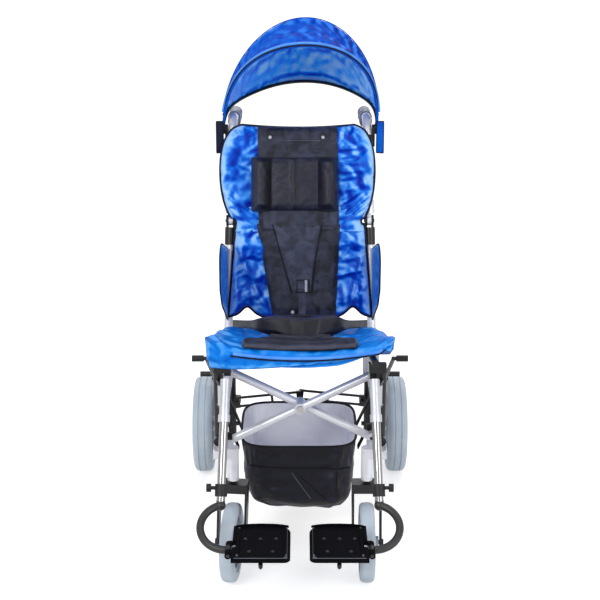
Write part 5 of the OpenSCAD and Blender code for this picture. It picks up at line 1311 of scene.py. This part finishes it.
# %% Form of the seat
TOP_PART = 0.86
SEAT_FOLDS = [
    (-206, 90, -160, 14, 7, 8), (-200, 30, -150, 16, 6, 5), (-176, 70, -120, 24, 7, -5), (-204, 130, -180, 50, 9, 5),
    (206, 60, 176, 20, 8, 4), (196, 110, 150, 60, 10, -4), (186, 200, 150, 150, 10, 4), (-190, 210, -150, 170, 10, 4),
]
FASCIA_FOLDS = [
    (-186, 2, -160, -36, 6, 6), (-198, -30, -150, -4, 6, 5), (-166, 2, -130, -34, 6, 5), (-120, 2, -112, -30, 6, -2),
    (-40, 0, -20, -28, 8, 1.6), (60, 0, 82, -24, 7, 1.6), (150, 2, 176, -16, 6, 2),
]


def cush_front(u, v):
    """From the rear edge over the top to the front edge, then down the fascia."""
    w = math.sin(math.pi / 2 * (2 * u - 1))
    if v < TOP_PART:
        t = (v / TOP_PART) ** 0.86
        y = CUSH_Y1 + (CUSH_Y0 - CUSH_Y1) * t
        x = w * cush_wide(y)
        inside = ease((1 - abs(w)) / 0.08) * ease(t / 0.08) * ease((1 - t) / 0.02)
        lift = folds_at(x, y, SEAT_FOLDS) + crumple(Vector((x, y, 0)) * MM, 14, 3.0, 31.0)
        return at(x, y, cush_top(x, y) + lift * inside)
    t = (v - TOP_PART) / (1 - TOP_PART)
    x = w * cush_wide(CUSH_Y0) * (1 + 0.02 * math.sin(math.pi * t))
    top = cush_top(x, CUSH_Y0)
    z = top + (fascia_low(x) - top) * t
    inside = ease(t / 0.1) * ease((1 - t) / 0.12)
    out = folds_at(x, z - top, FASCIA_FOLDS) + crumple(Vector((x, z, 4)) * MM, 12, 1.6, 5.0)
    return at(x, CUSH_Y0 - inside * clip(0.5 + out / 6) * 6, z)


def cush_inner(u, v):
    w = math.sin(math.pi / 2 * (2 * u - 1))
    if v < TOP_PART:
        t = (v / TOP_PART) ** 0.86
        y = CUSH_Y1 + (CUSH_Y0 + FASCIA_T + REST - CUSH_Y1) * t
        x = w * cush_wide(y) * 0.985
        return at(x, y, cush_under(x, y))
    t = (v - TOP_PART) / (1 - TOP_PART)
    x = w * cush_wide(CUSH_Y0) * 0.985
    return at(x, CUSH_Y0 + FASCIA_T - 0.5 * t, cush_under(x, CUSH_Y0 + FASCIA_T) * (1 - t) + fascia_low(x) * t)


print("seat:", len(SEAT_FOLDS) + len(FASCIA_FOLDS), "folds")

# %% Seat cushion
seat = lay_pad("seat_sling", 92, 84, (0.42, 0.46), cush_front, cush_inner, [painted_light_seat_nylon], "seat_rail_left")
settle(seat, sewn_edges(seat, lines=[lambda u, v: abs(v - TOP_PART) < 0.008]), slack=0.02, pressure=0.5, cap=5 * MM)
# painted highlights and painted shade on the sling's crinkles
tone(seat, (-0.4, -0.6, 0.6), 0.72, broad=0.1)
refine(seat)
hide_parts("seat_cushion")
EDGE_N = 60
front_edge = [cush_front(k / EDGE_N, TOP_PART) for k in range(EDGE_N + 1)]
# the piping along the seat's front edge, pale blue as a painted highlight on it
seat_welt = tube("seat_front_welt", [p + Vector((0, -2.5 * MM, -1.0 * MM)) for p in front_edge[14:-8]], 3.6 * MM,
    painted_highlight_piping, "seat_rail_left")
seat_seam = tube("seat_front_seam", [p + Vector((0, -4.6 * MM, -6.0 * MM)) for p in front_edge[13:-6]], 1.6 * MM,
    navy_binding, "seat_rail_left")
crush(seat, seat_welt, seat_seam, part="seat")
print("seat sling", 2 * CUSH_HALF, "mm wide")

# %% [markdown]
# The insert is a thin black pad on the sling, wide at the front and narrow towards the back. It could be
# a flat pad pressed down by cloth, but then it might cut into the sling. Laid by the sling's own height
# plus a small gap, it can't.

# %% Seat insert
PAD_Y0, PAD_Y1, PAD_HALF, PAD_T = 18, 355, 126, 8
PAD_SHARES = [(0, 0.95), (0.015, 0.99), (0.03, 1), (0.13, 1), (0.17, 0.93), (0.22, 0.72), (0.28, 0.6),
    (0.5, 0.55), (1, 0.53)]


def pad_skin(lift):
    def place(u, v):
        y = PAD_Y0 + v * (PAD_Y1 - PAD_Y0)
        x = math.sin(math.pi / 2 * (2 * u - 1)) * PAD_HALF * straight(v, PAD_SHARES)
        rim = 0.3 + 0.7 * math.sqrt(clip(min(u, 1 - u) / 0.1)) * math.sqrt(clip((min(v, 1 - v) + 0.008) / 0.03))
        seam = -2.5 * math.exp(-(((v - 0.2) / 0.012) ** 2))
        extra = (lift * rim + seam + crumple(Vector((x, y, 2)) * MM, 11, 1.4)) if lift else 0
        return at(x, y, cush_top(x, y) + REST + max(extra, 0) + 2.5)
    return place


insert = lay_pad("seat_insert_pad", 56, 72, (0.25, 0.31), pad_skin(PAD_T + 3), pad_skin(0), [black_pad],
    "seat_rail_left")
settle(insert, sewn_edges(insert), frames=12, slack=0.012, pressure=0.5, cap=3 * MM)
# painted highlights and painted shade on the insert's crinkles
tone(insert, (-0.2, -0.5, 0.8), 0.9, broad=0.1, middle=0.25)
refine(insert)
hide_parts("seat_insert")
crush(insert, part="seat")
print("seat insert", 2 * PAD_HALF, "mm wide")

# %% [markdown]
# The lap belt is a padded band across the seat that runs back to a strap at each side. A box bent by a
# curve would twist where the pad turns into the strap. Tables of its middle line, height and thickness
# keep pad and straps in one smooth piece.

# %% Lap belt
# by share of the half length: x, y, height of the middle, how tall it stands and how thick it is
BELT_X = [(0, 0), (0.45, 78), (0.58, 100), (0.72, 119), (1, 166)]
BELT_Y = [(0, 192), (0.45, 198), (0.58, 216), (0.72, 268), (1, 394)]
BELT_Z = [(0, 530), (0.45, 534), (0.58, 533), (0.72, 517), (1, 477)]
BELT_H = [(0, 54), (0.4, 52), (0.5, 42), (0.6, 26), (0.72, 20), (1, 20)]
BELT_T = [(0, 20), (0.4, 18), (0.52, 12), (0.62, 4), (1, 3.5)]
BELT_LEAN, BELT_OFF = 24, 9


def belt_skin(side):
    def place(u, v):
        w, t = 2 * u - 1, 2 * v - 1
        far = abs(w)
        pad = 1 - ease((far - 0.4) / 0.2)
        tall, lean = lookup(far, BELT_H) * t / 2, math.radians(BELT_LEAN)
        thick = lookup(far, BELT_T) * (0.3 + 0.7 * math.sqrt(1 - t**4))
        thick -= 2 * pad * math.exp(-(((far - 0.2) / 0.015) ** 2))
        x = math.copysign(lookup(far, BELT_X), w) * (1 - 0.16 * pad * (1 - t)) + BELT_OFF * pad
        y = lookup(far, BELT_Y) + tall * math.sin(lean) - side * thick * math.cos(lean)
        return at(x, y, lookup(far, BELT_Z) + tall * math.cos(lean) + side * thick * math.sin(lean))
    return place


belt = lay_pad("lap_belt_pad", 96, 20, (0.33, 0.06), belt_skin(1), belt_skin(0), [black_pad], "seat_rail_left")
settle(belt, sewn_edges(belt, lines=[lambda u, v: abs(2 * u - 1) > 0.6]), frames=12, slack=0.01, pressure=0.8,
    cap=3 * MM)
# painted highlights and painted shade on the belt pad
tone(belt, (-0.2, -0.5, 0.8), 0.9, broad=0.3, middle=0.3)
refine(belt)
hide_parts("lap_belt")
crush(belt, part="seat")
print("lap belt leans", BELT_LEAN, "degrees")

# %% [markdown]
# ## Arm guards
# A padded cloth panel fills each side between the seat and the back cane, with dark piping round it.
# From the front only its inner face shows, as a narrow strip of blue.

# %% Arm guards
PANEL_X0, PANEL_T, PANEL_CROWN, PANEL_Y0, PANEL_ROUND = 176.5, 7, 2, 172, 22
FRONT_Z, REAR_Z = (590, 735), (482, 650)


def cane_y(z):
    return 378 + math.tan(math.radians(LEAN)) * (z - 312)


def panel_place(u, v, x):
    """Share u from the front edge to the cane, share v from the lower edge to the upper one."""
    z0 = FRONT_Z[0] + u * (REAR_Z[0] - FRONT_Z[0])
    z1 = FRONT_Z[1] + u * (REAR_Z[1] - FRONT_Z[1])
    z = z0 + v * (z1 - z0)
    y0 = PANEL_Y0 + PANEL_ROUND * abs(2 * v - 1) ** 6
    y1 = cane_y(z) - TUBE_R / math.cos(math.radians(LEAN)) - 0.1
    turn = (2 * v - 1) * PANEL_ROUND * abs(2 * u - 1) ** 6 * (u < 0.5)
    return at(x, y0 + u * (y1 - y0), z - turn)


for side, s in SIDES:
    mid = PANEL_X0 + PANEL_T / 2

    def panel_skin(way):
        def place(u, v):
            half = PANEL_T / 2 - PANEL_CROWN * (1 - math.sin(math.pi * u) * math.sin(math.pi * v))
            half += crumple(Vector((u, v, s)) * 0.25, 16, 2.2, 7.0) * math.sin(math.pi * u) * math.sin(math.pi * v)
            return panel_place(u, v, s * (mid + way * half))
        return place

    guard = lay_pad(side + "_arm_guard", 44, 32, (0.25, 0.16), panel_skin(1), panel_skin(-1), [wing_nylon],
        side + "_frame")
    # painted highlights and painted shade on the guard's crinkles
    tone(guard, (-0.3 * s, -0.6, 0.5), 0.7, broad=0.2, middle=0.5)
    refine(guard)
    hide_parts(side + "_side_panel")
    rim = round_edge(lambda u, v: panel_place(u, v, s * mid), 30, 20, 30)
    tube(side + "_arm_guard_piping", rim, 2.0 * MM, navy_binding, side + "_frame", ring=True)
print("arm guards done")

# %% [markdown]
# ## Storage bag
# A soft black bag hangs by four straps from the lower rails. Its inside is coated in pale grey, which
# shows over the front rim. The shell is a sheet wrapped round, closed at the bottom, and left to sag.

# %% Form of the bag
BAG_HALF, BAG_Y0, BAG_Y1, BAG_Z1, BAG_RISE, BAG_Z0, BAG_SAG = 134, 170, 398, 246, 24, 76, 12
BAG_LEVELS = [(0, 0.0), (0.004, 0.3), (0.02, 0.66), (0.08, 0.88), (0.2, 0.96), (0.55, 1.01), (1, 0.985)]
BAG_FOLDS = [(-60, 150, 10, 190, 8, 3), (-100, 120, -40, 160, 9, -3), (40, 130, 90, 170, 8, 3),
    (80, 190, 120, 130, 8, -3)]
# the bag bulges more to its left, its corners are square, and its bottom turns up at the knee
BAG_LEFT, BAG_RIGHT, BAG_SQUARE, BAG_KNEE, BAG_BEND = 1.06, 1.02, 0.4, 0.35, 2.2


def power(v, p):
    return math.copysign(abs(v) ** p, v)


def bag_place(u, v):
    """u goes round the bag, v from the middle of its bottom up to the rim."""
    cy, hy = (BAG_Y0 + BAG_Y1) / 2, (BAG_Y1 - BAG_Y0) / 2
    turn = math.tau * u
    knee = BAG_KNEE**BAG_BEND
    level = v**BAG_BEND if v < BAG_KNEE else knee + (1 - knee) * (v - BAG_KNEE) / (1 - BAG_KNEE)
    s = clip(lookup(level, BAG_LEVELS) if v > 0.2 else 0.78 * (v / 0.2))
    x = BAG_HALF * s * power(math.cos(turn), BAG_SQUARE) * (BAG_LEFT if math.cos(turn) < 0 else BAG_RIGHT)
    y = hy * s * power(math.sin(turn), BAG_SQUARE)
    rim = BAG_Z1 + BAG_RISE * (y + hy) / (2 * hy)
    low = BAG_Z0 - BAG_SAG * clip(1 - s) + 14 * clip(-x / BAG_HALF) * s
    z = low + level * (rim - low)
    out = Vector((x, y, 0))
    if out.length > 1:
        out.normalize()
        soft = math.sin(math.pi * clip(v)) ** 0.6
        wrinkle = crumple(Vector((x, y + cy, z)) * MM, 14, 4.5, 41.0) + folds_at(x, z, BAG_FOLDS) * ease(-y / 60)
        x, y = x + out.x * min(3, wrinkle * soft), y + out.y * min(3, wrinkle * soft)
    return at(x, y + cy, z)


print("bag", round(2 * BAG_HALF), "mm wide")

# %% Bag shell
bag = lay_sheet("storage_bag_shell", 120, 56, (0.72, 0.3), bag_place, [bag_nylon, bag_lining], "left_frame")
bag_bm = bmesh.new()
bag_bm.from_mesh(bag.data)
bmesh.ops.remove_doubles(bag_bm, verts=bag_bm.verts[:], dist=1e-5)
bmesh.ops.dissolve_degenerate(bag_bm, edges=bag_bm.edges[:], dist=1e-6)
bmesh.ops.recalc_face_normals(bag_bm, faces=bag_bm.faces[:])
bag_bm.to_mesh(bag.data)
bag_bm.free()
settle(bag, [k for k, (u, v) in enumerate(params(bag)) if v > 0.97], frames=14, slack=0.02, weight=0.6, cap=8 * MM)
# painted highlights and painted shade on the bag's crinkles and folds
tone(bag, (-0.3, -0.7, 0.6), 0.6, broad=0.1, middle=0.4)
thicken(bag, 2.2 * MM, 1)
refine(bag)
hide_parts("storage_bag")
rim_path = [bag_place(k / 120, 1) for k in range(120)]
bag_rim = tube("storage_bag_rim", rim_path, 3.0 * MM, webbing, "left_frame", ring=True)


# %% Seam and tucks of the bag
def on_bag(x, z):
    """The place on the bag's settled front where a line from the front meets it."""
    hit, place, _, _ = bag.ray_cast(at(x, BAG_Y0 - 200, z), Vector((0, 1, 0)))
    return (place if hit else at(x, BAG_Y0, z)) + Vector((0, -0.8 * MM, 0))


bag_seam = tube("storage_bag_seam", [on_bag(x, 188 - 0.03 * x) for x in range(-118, 119, 4)], 1.8 * MM, webbing,
    "left_frame")
TUCKS = ((-20, 178, 26, 108, thread_grey), (-12, 180, 62, 104, webbing), (88, 176, 86, 104, webbing))
tucks = []
for k, (x0, z0, x1, z1, finish) in enumerate(TUCKS):
    path = [on_bag(x0 + (x1 - x0) * j / 24, z0 + (z1 - z0) * j / 24) for j in range(25)]
    tucks.append(tube("storage_bag_tuck_%d" % (k + 1), path, 1.2 * MM, finish, "left_frame"))
crush(bag, bag_rim, bag_seam, *tucks)
print("bag: one seam and", len(tucks), "tucks")

# %% [markdown]
# Four short webbing straps carry the bag from the lower rails. Each is a flat strip with a live thickness,
# because a strap that is pulled tight has no folds of its own.

# %% Bag straps
STRAP_HALF, STRAP_T = 11, 3
RAIL_X, RAIL_Z = 182, 312
straps = []
for side, s in SIDES:
    for end, t in (("front", 0.22), ("rear", 0.78)):
        y = BAG_Y0 + t * (BAG_Y1 - BAG_Y0)
        near = (TUBE_R + REST + 1.6) * math.cos(math.pi / 4)
        foot = Vector((BAG_HALF * (BAG_LEFT if s < 0 else BAG_RIGHT) + 1, BAG_Z1 - 22))
        head = Vector((RAIL_X - near, RAIL_Z - near))

        def strap_place(u, v, s=s, y=y, foot=foot, head=head):
            run = foot.lerp(head, v)
            return at(s * (run.x + 1.5), y + (2 * u - 1) * STRAP_HALF, run.y)

        strap = lay_sheet(side + "_" + end + "_bag_strap", 6, 20, (0.022, 0.1), strap_place, [webbing], "left_frame")
        thicken(strap, STRAP_T * MM)
        straps.append(strap)
crush(*straps)
print("bag straps:", len(straps))

# %% [markdown]
# ## Rigid details
# The rear tyres get two grooves round the tread, the push grips get ribs for the fingers, and the
# footplates get bolts, grey ribs, a grey line along the front edge, a stop below and a raised heel band;
# the grey of the ribs and of the front line is a painted highlight. Each is spun or laid on the
# size of its CAD piece, so it follows when the CAD changes.

# %% Rear tyres
def spun(name, section, centre, axis, finish, body, steps=96):
    """A section, given as (along the axis, radius) pairs, spun once round an axis."""
    bm = bmesh.new()
    side_way = axis.orthogonal().normalized()
    row = [bm.verts.new(centre + axis * a + side_way * r) for a, r in section]
    edges = [bm.edges.new((row[k], row[(k + 1) % len(row)])) for k in range(len(row))]
    bmesh.ops.spin(bm, geom=row + edges, cent=centre, axis=axis, angle=math.tau, steps=steps, use_merge=True)
    bmesh.ops.remove_doubles(bm, verts=bm.verts[:], dist=1e-6)
    bmesh.ops.recalc_face_normals(bm, faces=bm.faces[:])
    piece = keep(bm, name, [finish], body)
    piece.data.set_sharp_from_angle(angle=math.radians(50))
    return piece


TYRE_IN, GROOVE = 26 * MM, 2.2 * MM
TYRE_SECTION = [(-1, 0.985), (-1, 0.55), (-0.94, 0.3), (-0.8, 0.12), (-0.6, 0.04)]
for side, _ in SIDES:
    low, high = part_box(side + "_rear_tyre")
    centre, half, radius = (low + high) / 2, (high.x - low.x) / 2, (high.z - low.z) / 2
    tread = [(a * half, radius - drop * TYRE_IN) for a, drop in TYRE_SECTION]
    tread.append((-0.42 * half, radius))
    for a in (-0.33, 0.33):
        if a > 0:
            tread += [(-0.1 * half, radius), (0.1 * half, radius)]
        tread += [(a * half - 1.6 * MM, radius), (a * half - 0.8 * MM, radius - GROOVE),
            (a * half + 0.8 * MM, radius - GROOVE), (a * half + 1.6 * MM, radius)]
    tread.append((0.42 * half, radius))
    tread += [(-a * half, radius - drop * TYRE_IN) for a, drop in reversed(TYRE_SECTION)]
    tyre = spun(side + "_rear_tread", tread, centre, Vector((1, 0, 0)), grey_tyre, side + "_rear_wheel")
    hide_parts(side + "_rear_tyre")
print("rear tyres with grooves", round(GROOVE / MM, 1), "mm deep")

# %% [markdown]
# The ribs of a push grip stand square to its tube, which leans. The axis is measured on the CAD mesh, and
# a small section is spun round it for every rib, so no rib has to be turned into place by hand.

# %% Push grips
GRIP_RIBS, RIB_IN, RIB_OUT = 9, 15.2 * MM, 16.3 * MM
for side, _ in SIDES:
    spots = sorted((v.co.copy() for v in nodes[side + "_push_grip"].data.vertices), key=lambda c: c.y)
    few = max(4, len(spots) // 12)
    near = sum(spots[:few], Vector()) / few
    far = sum(spots[-few:], Vector()) / few
    axis = (far - near).normalized()
    reach = (far - near).length
    for k in range(GRIP_RIBS):
        place = near + axis * reach * (0.1 + 0.8 * k / (GRIP_RIBS - 1))
        rib = [(-3 * MM, RIB_IN), (-2 * MM, RIB_OUT), (2 * MM, RIB_OUT), (3 * MM, RIB_IN)]
        spun("%s_grip_rib_%d" % (side, k + 1), rib, place, axis, grip_rubber, side + "_upper_back",
            40)
print("push grips:", GRIP_RIBS, "ribs each")

# %% [markdown]
# The small parts of a footplate are placed by shares of the plate's own box, so one rule serves both
# plates. The heel band is bowed and round at its edges, so it is laid like a pad and not cut from a box.

# %% Footplates
HEEL_H, HEEL_T, HEEL_BOW = 7, 6, 5
PLATE_OUTER, PLATE_REAR = 0.142, -105
# shares across the plate and from its rear to its front
BOLTS = ((0.25, 0.42), (0.52, 0.42), (0.78, 0.42), (0.3, 0.8), (0.7, 0.8))
for side, s in SIDES:
    low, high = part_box(side + "_footplate")
    inner, outer = high.x if s < 0 else low.x, s * PLATE_OUTER
    top = high.z - 3 * MM
    rear = at(0, PLATE_REAR, 0).y

    def heel_skin(way, inner=inner, outer=outer, top=top, rear=rear):
        def place(u, v):
            w = 2 * u - 1
            x = inner + (outer - inner) * (0.03 + 0.94 * u)
            y = rear - 7 * MM + (HEEL_BOW * (1 - w * w) + way * HEEL_T * (0.6 + 0.4 * math.sin(math.pi * v))) * MM
            return Vector((x, y, top - 2 * MM + v * HEEL_H * (1 - 0.35 * w**4) * MM))
        return place

    foot = side + "_foot"
    heel = lay_pad(side + "_heel_band", 28, 8, (0.11, 0.016), heel_skin(1), heel_skin(0), [tread_plastic], foot)
    refine(heel)
    for k, (across, along) in enumerate(BOLTS):
        place = Vector((inner + (outer - inner) * across, rear + (low.y - rear) * along, top + 0.8 * MM))
        button("%s_plate_bolt_%d" % (side, k + 1), place, Vector((0, 0, 1)), 4.2 * MM, 3 * MM, black_metal, foot)
    front = low.y + 3 * MM
    # a grey cord along the plate's front edge: a painted highlight there
    lip = [Vector((inner + (outer - inner) * k / 20, front - 1.5 * MM, top + 1 * MM)) for k in range(1, 20)]
    tube(side + "_plate_front_highlight", lip, 1.8 * MM, painted_highlight_grey, foot)
    # raised ribs at both sides, whose grey is a painted highlight along them
    for end, share in (("inner", 0.07), ("outer", 0.9)):
        x = inner + (outer - inner) * share
        rail = [Vector((x, rear - 12 * MM + (front + 14 * MM - rear) * k / 10, top + 0.6 * MM)) for k in range(11)]
        tube("%s_plate_%s_rib" % (side, end), rail, 2.4 * MM, painted_highlight_grey, foot)
    below = Vector(((inner + outer) / 2, front + 6 * MM, low.z - 2 * MM))
    button(side + "_plate_stop", below, Vector((0, 0, -1)), 5 * MM, 12 * MM, black_plastic, foot)
print("footplates:", len(BOLTS), "bolts each")
